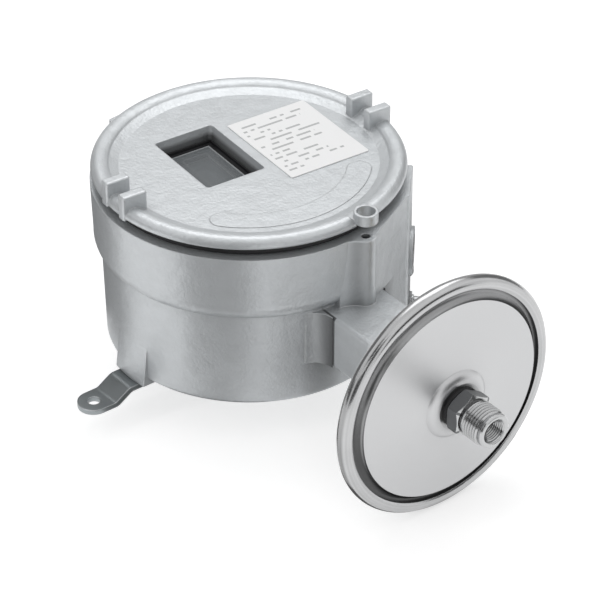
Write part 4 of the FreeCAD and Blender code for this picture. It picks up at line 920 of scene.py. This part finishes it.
def islands(node: str) -> list[tuple[Vector, Vector]]:
    """Find the separate solids of a CAD node.

    Args:
        node: The node's name.

    Returns:
        The lowest and highest corner of each solid, in metres.
    """
    copy = bmesh.new()
    copy.from_mesh(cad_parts[node].data)
    bmesh.ops.remove_doubles(copy, verts=copy.verts[:], dist=1e-6)
    boxes = []
    left = set(copy.verts)
    while left:
        reached = {left.pop()}
        front = list(reached)
        while front:
            front = [edge.other_vert(vert) for vert in front for edge in vert.link_edges]
            front = [vert for vert in set(front) if vert in left]
            left.difference_update(front)
            reached.update(front)
        low, high = [Vector([end(vert.co[axis] for vert in reached) for axis in range(3)])
                     for end in (min, max)]
        boxes.append((low, high))
    copy.free()
    return sorted(boxes, key=lambda box: tuple(box[0]))


def ring_mesh(rings: Iterable[Sequence[Point]], closed: bool = False) -> bmesh.types.BMesh:
    """Join rings of points into a skin.

    Args:
        rings: Rings with the same number of points; a ring of one point closes an end.
        closed: Whether the last ring joins the first.

    Returns:
        The skin, with its faces pointing outwards.
    """
    skin = bmesh.new()
    rows = [[skin.verts.new(point) for point in ring] for ring in rings]
    pairs = list(zip(rows, rows[1:])) + ([(rows[-1], rows[0])] if closed else [])
    for first, second in pairs:
        count = max(len(first), len(second))
        for number in range(count):
            after = (number + 1) % count
            corners = [first[number % len(first)], first[after % len(first)],
                       second[after % len(second)], second[number % len(second)]]
            skin.faces.new(list(dict.fromkeys(corners)))
    bmesh.ops.recalc_face_normals(skin, faces=skin.faces[:])
    return skin


def circle(along: float, radius: float, count: int) -> list[Point]:
    """Return points of a circle about the X axis."""
    turns = [FULL_TURN * number / count for number in range(count)]
    return [(along, radius * math.cos(turn), radius * math.sin(turn)) for turn in turns]


def hexagon(along: float, flat: float, count: int, slope: float = 0.0,
            chamfer: float = 0.0) -> list[Point]:
    """Draw a hexagon about the X axis, whose corners may step back as a chamfer leaves them.

    Args:
        along: Where it lies on the axis.
        flat: Half its width across the flats.
        count: How many points it has.
        slope: How far a point moves along the axis for its reach beyond the chamfer's start.
        chamfer: The radius at which the chamfer starts.

    Returns:
        The points.
    """
    points = []
    for number in range(count):
        turn = FULL_TURN * number / count
        corner = (turn + math.pi / 6.0) % (math.pi / 3.0) - math.pi / 6.0
        reach = flat / math.cos(corner)
        step = (reach - chamfer) * slope
        points.append((along + step, reach * math.cos(turn), reach * math.sin(turn)))
    return points


def add_piece(name: str, mesh: bpy.types.Mesh, node: str) -> bpy.types.Object:
    """Add a finished mesh, in metres, as a piece of the object.

    Args:
        name: The piece's name.
        mesh: Its mesh.
        node: The CAD node that it stands for.

    Returns:
        The piece, which has no body yet.
    """
    mesh.name = name
    mesh.shade_smooth()
    piece = add_object(name, mesh)
    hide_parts(node)
    return piece


def settle(name: str, mesh: bpy.types.Mesh, body: Body, node: str,
           sharp: float = 35.0) -> bpy.types.Object:
    """Add a finished mesh, in metres, as a piece that rides on one body.

    Args:
        name: The piece's name.
        mesh: Its mesh.
        body: The body that it rides on.
        node: The CAD node that it stands for.
        sharp: The angle in degrees over which an edge stays sharp.

    Returns:
        The piece.
    """
    piece = add_piece(name, mesh, node)
    mesh.set_sharp_from_angle(angle=math.radians(sharp))
    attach(piece, body.value)
    LOG.info("%s rides on %s", name, body.value)
    return piece


def helix_recipe() -> Recipe:
    """Write the tree that winds a ridge or a wire about Z.

    Returns:
        The tree, which closes the end coils where asked.
    """
    sizes = dict.fromkeys(("Radius", "Height", "Turns", "Section", "Closed"), "NodeSocketFloat")
    counts = dict.fromkeys(("Sides", "Steps"), "NodeSocketInt")
    recipe = Recipe("helix", {**sizes, **counts, "Material": "NodeSocketMaterial"})
    turns, height, closed = recipe.given("Turns"), recipe.given("Height"), recipe.given("Closed")
    coil = recipe.given("Section") * 2.0 * closed
    path = recipe.node("GeometryNodeCurveSpiral", sockets={
        "Resolution": recipe.given("Steps"), "Rotations": turns, "Start Radius": recipe.given("Radius"),
        "End Radius": recipe.given("Radius"), "Height": height})
    turn = recipe.node("GeometryNodeSplineParameter", output="Factor") * turns
    bottom = coil * turn.smaller(closed)
    climb = (height - coil * 2.0) * ((turn - closed) / (turns - closed * 2.0)).clamped()
    top = coil * (turn - turns + closed).clamped()
    x, y, _ = recipe.split(recipe.node("GeometryNodeInputPosition"))
    moved = recipe.node("ShaderNodeCombineXYZ", sockets={"X": x, "Y": y, "Z": bottom + climb + top})
    laid = recipe.node("GeometryNodeSetPosition", sockets={"Geometry": path, "Position": moved})
    level = recipe.node("GeometryNodeSetCurveNormal", {"mode": "Z_UP"}, {"Curve": laid})
    section = recipe.node("GeometryNodeCurvePrimitiveCircle", sockets={
        "Resolution": recipe.given("Sides"), "Radius": recipe.given("Section")})
    recipe.close(recipe.node("GeometryNodeCurveToMesh", sockets={
        "Curve": level, "Profile Curve": section, "Fill Caps": True}))
    return recipe


def pattern_recipe() -> Recipe:
    """Write the tree that sets a copy of one object at each vertex.

    Returns:
        The tree.
    """
    recipe = Recipe("pattern", {"Original": "NodeSocketObject", "Turn": "NodeSocketVector",
                                "Material": "NodeSocketMaterial"})
    original = recipe.node("GeometryNodeObjectInfo", sockets={"Object": recipe.given("Original")},
                           output="Geometry")
    recipe.close(recipe.node("GeometryNodeInstanceOnPoints", sockets={
        "Points": recipe.given("Geometry"), "Instance": original, "Rotation": recipe.given("Turn")}))
    return recipe


HELIX = helix_recipe()
PATTERN = pattern_recipe()
ALONG_X = Matrix.Rotation(math.radians(90.0), 4, "Y")
ON_CHAMBER_AXIS = Matrix.Scale(MM, 4) @ Matrix.Translation((0.0, 0.0, CHAMBER_AXIS_HEIGHT))


@dataclass(frozen=True)
class Ridge:
    """One thread ridge about the X axis, held between two radii."""

    name: str
    radius: float
    start: float
    end: float
    pitch: float
    section: float
    outside: float
    inside: float


@dataclass
class ProcessFitting:
    """The pipe connection in the middle of the front dish."""

    palette: Palette
    back: float = 171.2
    stud_radius: float = 10.0
    stud_chamfer: float = 0.6
    hex_back: float = 179.5
    hex_front: float = 188.0
    hex_turned: float = 187.5
    hex_flat: float = 11.0
    hex_circle: float = 10.6
    hex_chamfer: float = 30.0
    hex_bite: float = 0.5
    overlap: float = 0.4
    relief_radius: float = 9.2
    thread_start: float = 189.2
    thread_end: float = 202.3
    run_in: float = 0.9
    run_out: float = 0.6
    end: float = 204.79
    end_margin: float = 0.1
    nose: tuple[tuple[float, float], ...] = ((1.1, 0.25), (0.35, -0.25), (0.0, -0.85))
    mouth: tuple[tuple[float, float], ...] = ((0.0, 1.0), (0.25, 0.6), (0.9, 0.0))
    crest: float = 10.4775
    core: float = 9.45
    pitch: float = 1.814
    bore: float = 5.72
    bore_root: float = 6.5
    bore_bottom: float = 190.8
    bore_cone: float = 1.2
    bore_pitch: float = 1.337
    bore_margin: float = 0.2
    duct: float = 2.5
    ridge_half: float = 0.92
    ridge_lift: float = 0.12
    ridge_root: float = 0.5
    bore_ridge_half: float = 0.64
    bore_ridge_lift: float = 0.1
    bore_ridge_root: float = 0.3
    bore_run_in: float = 0.8
    bore_run_out: float = 0.5
    ridge_sides: int = 4
    ridge_steps: int = 72
    segments: int = 96
    sharp: float = 28.0

    def turned(self) -> bmesh.types.BMesh:
        """Turn the blank with its bore, without hexagon and threads.

        Returns:
            The blank about the X axis.
        """
        shoulder = self.hex_back + self.overlap
        nose_radius = self.core + self.nose[0][1]
        profile = [
            (self.back, self.duct), (self.back, self.stud_radius - self.stud_chamfer),
            (self.back + self.stud_chamfer, self.stud_radius), (shoulder, self.stud_radius),
            (shoulder, self.relief_radius), (self.thread_start, self.relief_radius),
            (self.thread_start + self.run_in, self.core), (self.thread_end - self.run_out, self.core),
            (self.thread_end, nose_radius),
            *[(self.end - inward, self.core + rise) for inward, rise in self.nose],
            *[(self.end - inward, self.bore_root + rise) for inward, rise in self.mouth],
            (self.bore_bottom + self.bore_cone, self.bore_root), (self.bore_bottom, self.duct)]
        return ring_mesh([circle(along, radius, self.segments) for along, radius in profile], closed=True)

    def hexagon(self) -> bmesh.types.BMesh:
        """Make the hexagon with its corners turned off at both ends.

        Returns:
            The hexagon about the X axis.
        """
        rings = []
        inner = self.relief_radius - self.hex_bite
        slope = math.tan(math.radians(self.hex_chamfer))
        for along, inward in ((self.hex_back, slope), (self.hex_front, -slope)):
            rings += [circle(along, inner, self.segments), circle(along, self.hex_circle, self.segments),
                      hexagon(along, self.hex_flat, self.segments, inward, self.hex_circle)]
        return ring_mesh([*rings[:3], *reversed(rings[3:])], closed=True)

    def thread(self, ridge: Ridge) -> bpy.types.Mesh:
        """Wind one thread ridge.

        Args:
            ridge: Its sizes.

        Returns:
            The ridge, its ends running out in the core.
        """
        length = ridge.end - ridge.start
        mesh = HELIX.bake(ridge.name, {
            "Radius": ridge.radius, "Height": length, "Turns": length / ridge.pitch,
            "Section": ridge.section, "Sides": self.ridge_sides, "Steps": self.ridge_steps, "Closed": 0.0,
            "Material": self.palette.bright_steel})
        mesh.transform(Matrix.Translation((ridge.start, 0.0, 0.0)) @ ALONG_X)
        for vert in mesh.vertices:
            reach = math.hypot(vert.co.y, vert.co.z)
            fade = min(1.0, max(0.0, (vert.co.x - ridge.start) / ridge.pitch),
                       max(0.0, (ridge.end - vert.co.x) / ridge.pitch))
            high = ridge.radius + (ridge.outside - ridge.radius) * fade
            low = ridge.radius - (ridge.radius - ridge.inside) * fade
            held = min(max(reach, low), high) / reach
            vert.co.x = min(vert.co.x, self.end - self.end_margin)
            vert.co.y *= held
            vert.co.z *= held
        return mesh

    def ridges(self) -> tuple[Ridge, Ridge]:
        """Size the thread ridges.

        Returns:
            The ridges of the pipe thread and of the thread in the bore.
        """
        pipe = Ridge("pipe_thread", self.core + self.ridge_lift, self.thread_start, self.thread_end,
                     self.pitch, self.ridge_half, outside=self.crest, inside=self.core - self.ridge_root)
        bore = Ridge("bore_thread", self.bore_root - self.bore_ridge_lift,
                     self.bore_bottom + self.bore_run_in, self.end - self.bore_run_out, self.bore_pitch,
                     self.bore_ridge_half, outside=self.bore_root + self.bore_ridge_root, inside=self.bore)
        return pipe, bore

    def steel_at(self, place: Vector, worked: Steel) -> Steel:
        """Choose the steel that a face shows.

        Args:
            place: The face's middle.
            worked: The steel of its part.

        Returns:
            Dark steel in the bore as painted shade, bright steel from the hexagon's turned front on, or
            else the part's own.
        """
        # Dark steel in the bore is painted shade.
        if math.hypot(place.y, place.z) < self.bore_root + self.bore_margin:
            return Steel.DARK
        return Steel.BRIGHT if place.x > self.hex_turned else worked

    def build(self) -> bpy.types.Object:
        """Join the parts.

        Returns:
            The fitting as one piece, with a dark hexagon and bright threads.
        """
        whole = bmesh.new()
        for part, steel in ((self.turned(), Steel.BRIGHT), (self.hexagon(), Steel.DARK)):
            for face in part.faces:
                face.material_index = self.steel_at(face.calc_center_median(), steel)
            whole.from_mesh(mesh_of("fitting_part", part))
        for ridge in self.ridges():
            first = len(whole.faces)
            whole.from_mesh(self.thread(ridge))
            whole.faces.ensure_lookup_table()
            for face in whole.faces[first:]:
                face.material_index = Steel.BRIGHT
        mesh = mesh_of("process_connection", whole)
        mesh.transform(ON_CHAMBER_AXIS)
        mesh.materials.append(self.palette.dark_steel)
        mesh.materials.append(self.palette.bright_steel)
        return settle("process_connection", mesh, Body.HOUSING, "process_fitting",
                      self.sharp)


@dataclass
class RollingDiaphragm:
    """The diaphragm, clamped at its rim, with a round roll."""

    palette: Palette
    back: float = 163.8
    front: float = 164.6
    crown: float = 1.8
    eye: float = 3.03
    roll_inner: float = 44.7
    roll_outer: float = 53.7
    rim: float = 66.3
    slope: float = 0.4
    steps: int = 12
    segments: int = 96

    def profile(self) -> list[tuple[float, float]]:
        """Draw the section, with a round roll.

        Returns:
            Places along the axis with their radii.
        """
        width = self.roll_outer - self.roll_inner
        upper = [(self.front, self.eye)]
        lower = [(self.back, self.eye)]
        for number in range(self.steps + 1):
            share = number / self.steps
            rise = self.crown * math.sin(math.pi * share)
            within = self.roll_inner + self.slope + (width - self.slope * 2.0) * share
            upper.append((self.front + rise, self.roll_inner + width * share))
            lower.append((self.back + rise, within))
        return [*upper, (self.front, self.rim), (self.back, self.rim), *reversed(lower)]

    def build(self) -> bpy.types.Object:
        """Make the diaphragm.

        Returns:
            The piece.
        """
        rings = [circle(along, radius, self.segments) for along, radius in self.profile()]
        mesh = mesh_of("rolling_diaphragm", ring_mesh(rings, closed=True))
        mesh.transform(ON_CHAMBER_AXIS)
        mesh.materials.append(self.palette.membrane)
        piece = add_piece("rolling_diaphragm", mesh, "diaphragm")
        # The points are laid in a row by radius while the piece's transform is baked, and then put back.
        places = [vert.co.copy() for vert in mesh.vertices]
        for vert in mesh.vertices:
            vert.co = (math.hypot(vert.co.y, vert.co.z - CHAMBER_AXIS_HEIGHT * MM), 0.0, 0.0)
        self.roll_inner * MM
        self.roll_outer * MM
        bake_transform(piece)
        for vert, place in zip(mesh.vertices, places):
            vert.co = place
        LOG.info("rolling_diaphragm bends between %s and %s", Body.PUSH_ROD.value, Body.HOUSING.value)
        return piece


@dataclass
class RangeSpring:
    """The spring between the set nut and the lever, with closed end coils."""

    palette: Palette
    start: float = -11.7
    end: float = 27.7
    side: float = -14.0
    height: float = 72.0
    radius: float = 6.3
    wire: float = 0.9
    turns: float = 10.0
    sides: int = 14
    steps: int = 40
    seam: float = 20.0
    nut_travel: float = 17.75
    lever_travel: float = 2.1

    def half(self, whole: bpy.types.Mesh, name: str, after: bool) -> bpy.types.Mesh:
        """Cut the coil at its seam.

        Args:
            whole: The coil, in metres.
            name: The half's name.
            after: Whether the half beyond the seam is wanted.

        Returns:
            The half, closed at the seam.
        """
        skin = bmesh.new()
        skin.from_mesh(whole)
        cut = bmesh.ops.bisect_plane(skin, geom=[*skin.verts, *skin.edges, *skin.faces],
                                     plane_co=(self.seam * MM, 0.0, 0.0), plane_no=(1.0, 0.0, 0.0),
                                     clear_inner=after, clear_outer=not after)
        rim = [item for item in cut["geom_cut"] if isinstance(item, bmesh.types.BMEdge)]
        bmesh.ops.holes_fill(skin, edges=rim)
        bmesh.ops.recalc_face_normals(skin, faces=skin.faces[:])
        mesh = mesh_of(name, skin)
        mesh.materials.append(self.palette.spring)
        return mesh

    def build(self) -> None:
        """Set the spring, cut at its seam into two halves."""
        mesh = HELIX.bake("range_coil", {
            "Radius": self.radius, "Height": self.end - self.start - self.wire * 2.0, "Turns": self.turns,
            "Section": self.wire, "Sides": self.sides, "Steps": self.steps, "Closed": 1.0,
            "Material": self.palette.spring})
        foot = (self.start + self.wire, self.side, self.height)
        mesh.transform(Matrix.Scale(MM, 4) @ Matrix.Translation(foot) @ ALONG_X)
        anchor = (self.seam * MM, self.side * MM, self.height * MM)
        for name, after, joint, length, travel in (
                ("range_coil", False, "nut_travel", self.seam - self.start, self.nut_travel),
                ("range_coil_end", True, "lever_swing", self.end - self.seam, self.lever_travel)):
            piece = settle(name, self.half(mesh, name, after), Body.HOUSING, "range_spring")
            1.0 - travel / length
            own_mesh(piece)


@dataclass
class ScrewSet:
    """The screws of one CAD node, each with a hexagon socket. Shares are of the head or the shank."""

    palette: Palette
    node: str
    body: Body
    facing: Facing
    size: ScrewSize
    round_share: float = 0.12
    ease_share: float = 0.3
    under_share: float = 0.4
    lip_share: float = 0.5
    socket_share: float = 0.5
    socket_depth: float = 0.55
    socket_mouth: float = 1.25
    socket_cone: float = 1.15
    tip_share: float = 0.75
    tip_length: float = 0.3
    sides: int = 24

    def original(self, length: float) -> bpy.types.Mesh:
        """Make one screw.

        Args:
            length: The length under its head.

        Returns:
            The screw along Z in metres, with its head above the origin.
        """
        shank, head, top = self.size.value
        soft = head * self.round_share
        ease = soft * self.ease_share
        under = soft * self.under_share
        flat = head * self.socket_share
        depth = top * self.socket_depth
        profile = [(-length, shank * self.tip_share), (-length + shank * self.tip_length, shank),
                   (0.0, shank), (0.0, head - under), (under, head), (top - soft, head),
                   (top - ease, head - ease), (top, head - soft), (top, flat * self.socket_mouth)]
        skin = ring_mesh([[(-length, 0.0, 0.0)],
                          *[circle(along, radius, self.sides) for along, radius in profile],
                          hexagon(top - soft * self.lip_share, flat, self.sides),
                          hexagon(top - depth, flat, self.sides),
                          [(top - depth * self.socket_cone, 0.0, 0.0)]])
        mesh = mesh_of(self.node + "_original", skin)
        mesh.transform(Matrix.Scale(MM, 4) @ ALONG_X.inverted())
        return mesh

    def build(self) -> bpy.types.Object:
        """Set the screws where the CAD node has them.

        Returns:
            All the screws of the node as one piece.
        """
        boxes = islands(self.node)
        low, high = boxes[0]
        head = self.size.value[2]
        seats = []
        for below, above in boxes:
            level = above.z - head * MM if self.facing is Facing.UP else below.z + head * MM
            seats.append(((below.x + above.x) / 2.0, (below.y + above.y) / 2.0, level))
        original = add_object(self.node + "_original", self.original((high.z - low.z) / MM - head))
        name = self.node + "_set"
        mesh = PATTERN.bake(name, {"Original": original, "Turn": (self.facing.value, 0.0, 0.0),
                                   "Material": self.palette.bright_zinc}, seats)
        bpy.data.objects.remove(original)
        return settle(name, mesh, self.body, self.node)


@dataclass
class Housing:
    """The cast housing, its feet, plug and earth point."""

    palette: Palette

    def build(self) -> None:
        """Dress the casting and straps, and set the foot screws."""
        dress(self.palette.body_paint, "housing")
        dress(self.palette.zinc, "foot_strap_left", "foot_strap_right")
        dress(self.palette.bright_zinc, "earth_clamp", "earth_washer", "earth_screw")
        dress(self.palette.bright_steel, "entry_plug")
        ScrewSet(self.palette, "foot_screws", Body.HOUSING, Facing.DOWN, ScrewSize.M6).build()


@dataclass
class ScrewLid:
    """The screw lid with its window, frame, seal and rating plate."""

    palette: Palette

    def build(self) -> None:
        """Dress the lid and what it carries, and set the frame screws."""
        dress(self.palette.lid_paint, "lid")
        dress(self.palette.rubber, "lid_seal", "window_gasket")
        dress(self.palette.glass, "window_glass")
        dress(self.palette.frame, "window_frame")
        dress(self.palette.label, "rating_plate")
        ScrewSet(self.palette, "frame_screws", Body.LID, Facing.DOWN, ScrewSize.M3).build()


@dataclass
class DiaphragmChamber:
    """The spun chamber with its rolled rim, diaphragm, stem and connections."""

    palette: Palette

    def build(self) -> None:
        """Dress the chamber, and build its diaphragm and process fitting."""
        dress(self.palette.spun, "front_dish", "rear_dish", "front_centre_plate", "rear_centre_plate")
        dress(self.palette.bead, "rim_bead")
        dress(self.palette.bright_steel, "sensor_stem", "stem_nut", "push_rod", "rod_nut", "process_nut")
        dress(self.palette.brass, "rod_guide", "low_pressure_nipple", "nipple_nut")
        dress(self.palette.rubber, "fitting_washer")
        RollingDiaphragm(self.palette).build()
        ProcessFitting(self.palette).build()


@dataclass
class Mechanism:
    """The switching mechanism on its chassis under the lid."""

    palette: Palette

    def build(self) -> None:
        """Dress the mechanism, wind its spring and set its screws."""
        dress(self.palette.sheet, "chassis_plate", "pivot_bracket", "switch_bracket", "spindle_bracket",
              "scale_posts")
        dress(self.palette.bright_steel, "pivot_pin", "switch_lever", "set_spindle")
        dress(self.palette.brass, "set_nut", "terminal_screws")
        dress(self.palette.bright_zinc, "switch_screws")
        dress(self.palette.black_plastic, "micro_switch")
        dress(self.palette.grey_plastic, "terminal_block")
        dress(self.palette.red_plastic, "set_pointer", "switch_plunger")
        dress(self.palette.scale, "scale_plate")
        RangeSpring(self.palette).build()
        for node in ("chassis_screws", "bracket_screws"):
            ScrewSet(self.palette, node, Body.HOUSING, Facing.UP, ScrewSize.M4).build()


@dataclass(frozen=True)
class Softbox:
    """A soft studio lamp, placed in degrees and metres about the object."""

    name: str
    azimuth: float
    elevation: float
    distance: float
    width: float
    height: float
    power: float
    glints: bool = True


@dataclass(frozen=True)
class Flag:
    """A toned card that only shows in reflections, upright or leant back, in metres and degrees."""

    name: str
    x: float
    y: float
    azimuth: float
    width: float
    height: float
    tone: float
    lift: float = 0.0
    lean: float = 0.0


@dataclass
class Studio:
    """The floor, the light and the camera. Distances are in metres."""

    aim: Point = (0.028696, 0.012336, 0.034594)
    azimuth: float = 52.1918
    elevation: float = 34.4074
    distance: float = 1.64
    lens: float = 180.0
    sensor: float = 36.0
    nearest: float = 0.05
    farthest: float = 50.0
    floor_colour: float = 0.6
    floor_glow: float = 0.62
    floor_half: float = 6.0
    floor_gap: float = 0.0002
    horizon: float = 0.15
    zenith: float = 0.9
    lamps: tuple[Softbox, ...] = (
        Softbox("left_softbox", -12.0, 20.0, 1.5, 0.12, 1.2, 4.0, False),
        Softbox("right_softbox", 64.0, 18.0, 1.6, 0.1, 1.2, 2.5, False),
        Softbox("top_softbox", 230.0, 62.0, 1.5, 1.2, 1.2, 7.0),
    )
    flags: tuple[Flag, ...] = (
        Flag("rear_flag", -0.562, 0.474, 232.0, 1.5, 0.8, 0.55),
        Flag("rear_left_flag", -0.667, -0.269, 292.0, 0.8, 0.7, 0.25),
        Flag("rear_right_flag", -0.027, 0.766, 178.0, 0.55, 0.7, 0.25),
        Flag("left_flag", -0.79, -0.61, -52.0, 0.5, 1.05, 0.2),
        Flag("high_flag", 0.332, -0.624, 28.0, 0.35, 0.45, 0.08, 0.5),
        Flag("camera_flag", 0.851, -0.596, 55.0, 0.45, 0.5, 0.08, 0.36),
        Flag("front_left_flag", -0.5, -1.1, -24.0, 0.9, 0.5, 0.1),
        Flag("front_flag", 0.75, -0.95, 38.0, 0.9, 0.5, 0.1),
        Flag("front_right_flag", 1.2, 0.35, 106.0, 0.9, 0.5, 0.1),
        Flag("left_fence", -0.0615, -0.0913, -38.0, 0.0545, 0.12, 0.15),
        Flag("rear_left_fence", -0.092, -0.03, 270.0, 0.1, 0.12, 0.1),
        Flag("middle_fence", 0.076, -0.1024, 35.0, 0.083, 0.15, 0.3),
        Flag("right_glow", 0.118, -0.021, 90.0, 0.058, 0.06, 0.8, 0.06),
        Flag("arm_shade", 0.045, -0.095, 0.0, 0.06, 0.06, 0.2, 0.0005, -90.0),
        Flag("chamber_shade", 0.14, -0.07, 0.0, 0.05, 0.14, 0.2, 0.0005, -90.0),
        Flag("rear_shade", 0.02, 0.11, 0.0, 0.14, 0.11, 0.15, 0.0005, -90.0),
    )

    def stand(self, holder: bpy.types.Object, azimuth: float, elevation: float, distance: float) -> None:
        """Stand a lamp or the camera about the object, looking at it.

        Args:
            holder: The lamp or the camera.
            azimuth: Its angle about the object, in degrees.
            elevation: Its angle above the floor, in degrees.
            distance: How far away it is.
        """
        turn, rise = math.radians(azimuth), math.radians(elevation)
        back = Vector((math.sin(turn) * math.cos(rise), -math.cos(turn) * math.cos(rise), math.sin(rise)))
        holder.location = Vector(self.aim) + back * distance
        holder.rotation_euler = (-back).to_track_quat("-Z", "Y").to_euler()

    def build_camera(self) -> None:
        """Stand the camera where the photograph was taken from."""
        camera = add_object("camera", bpy.data.cameras.new("camera"))
        self.stand(camera, self.azimuth, self.elevation, self.distance)
        camera.data.lens = self.lens
        camera.data.sensor_width = self.sensor
        camera.data.clip_start = self.nearest
        camera.data.clip_end = self.farthest
        bpy.context.scene.camera = camera

    def build_lamps(self) -> None:
        """Hang the softboxes."""
        for lamp in self.lamps:
            light = bpy.data.lights.new(lamp.name, "AREA")
            light.shape = "RECTANGLE"
            light.size = lamp.width
            light.size_y = lamp.height
            light.energy = lamp.power
            holder = add_object(lamp.name, light)
            self.stand(holder, lamp.azimuth, lamp.elevation, lamp.distance)
            holder.visible_glossy = lamp.glints

    def build_flags(self) -> None:
        """Stand the cards up on the floor, or lay them on it."""
        for flag in self.flags:
            shader = Shader(flag.name)
            shader.finish(shader.node("ShaderNodeEmission", sockets={"Strength": flag.tone}))
            half = flag.width / 2.0
            mesh = bpy.data.meshes.new(flag.name)
            mesh.from_pydata([(-half, 0.0, 0.0), (half, 0.0, 0.0), (half, 0.0, flag.height),
                              (-half, 0.0, flag.height)], [], [(0, 1, 2, 3)])
            middle = Vector((flag.x, flag.y, CAD_BOX[0].z + flag.lift))
            mesh.transform(Matrix.Translation(middle) @ Matrix.Rotation(math.radians(flag.azimuth), 4, "Z")
                           @ Matrix.Rotation(math.radians(flag.lean), 4, "X"))
            mesh.materials.append(shader.material)
            card = add_object(flag.name, mesh)
            card.visible_camera = False
            card.visible_diffuse = False
            card.visible_transmission = False
            card.visible_shadow = False

    @staticmethod
    def seen(graph: Graph) -> Wire:
        """Find the rays that show the background itself.

        Args:
            graph: The nodes of the floor or the sky.

        Returns:
            1 on those rays.
        """
        path = graph.node("ShaderNodeLightPath").socket.node
        camera, glossy, through = [Wire(graph, path.outputs[label]) for label in (
            "Is Camera Ray", "Is Glossy Ray", "Is Transmission Ray")]
        return (camera + glossy + through).clamped()

    def build_floor(self) -> None:
        """Lay a pale floor at the object's lowest point, clear from below."""
        shader = Shader("studio_floor")
        matt = shader.node("ShaderNodeBsdfDiffuse", sockets={"Color": (*[self.floor_colour] * 3, 1.0)})
        glow = shader.node("ShaderNodeEmission", sockets={"Strength": self.seen(shader) * self.floor_glow})
        both = shader.node("ShaderNodeAddShader", sockets={0: matt, 1: glow})
        clear = shader.node("ShaderNodeBsdfTransparent")
        below = shader.node("ShaderNodeNewGeometry", output="Backfacing")
        shader.finish(shader.node("ShaderNodeMixShader", sockets={0: below, 1: both, 2: clear}))
        mesh = bpy.data.meshes.new("studio_floor")
        level = CAD_BOX[0].z - self.floor_gap
        corners = ((-1.0, -1.0), (1.0, -1.0), (1.0, 1.0), (-1.0, 1.0))
        mesh.from_pydata([(x * self.floor_half, y * self.floor_half, level) for x, y in corners],
                         [], [(0, 1, 2, 3)])
        mesh.materials.append(shader.material)
        add_object("studio_floor", mesh)

    def build_world(self) -> None:
        """Set a soft sky, brighter overhead, that shows as white."""
        world = bpy.data.worlds.new("studio_sky")
        world.use_nodes = True
        graph = Graph(world.node_tree)
        _, _, rise = graph.split(graph.node("ShaderNodeTexCoord", output="Generated"))
        even = rise.clamped() * (self.zenith - self.horizon) + self.horizon
        strength = even + self.seen(graph) * (1.0 - even)
        sky = graph.node("ShaderNodeBackground", sockets={
            "Color": (1.0, 1.0, 1.0, 1.0), "Strength": strength})
        graph.node("ShaderNodeOutputWorld", sockets={"Surface": sky})
        bpy.context.scene.world = world

    def build(self) -> None:
        """Set the whole stage."""
        bpy.context.scene.view_settings.view_transform = "Standard"
        self.build_camera()
        self.build_lamps()
        self.build_flags()
        self.build_floor()
        self.build_world()


def main() -> None:
    """Build the sub-assemblies in order, and light them."""
    logging.basicConfig(level=logging.INFO, format="%(message)s")
    palette = Palette()
    for assembly in (Housing(palette), ScrewLid(palette), DiaphragmChamber(palette), Mechanism(palette)):
        LOG.info("building %s", type(assembly).__name__)
        assembly.build()
    Studio().build()


if __name__ == "__main__":
    main()
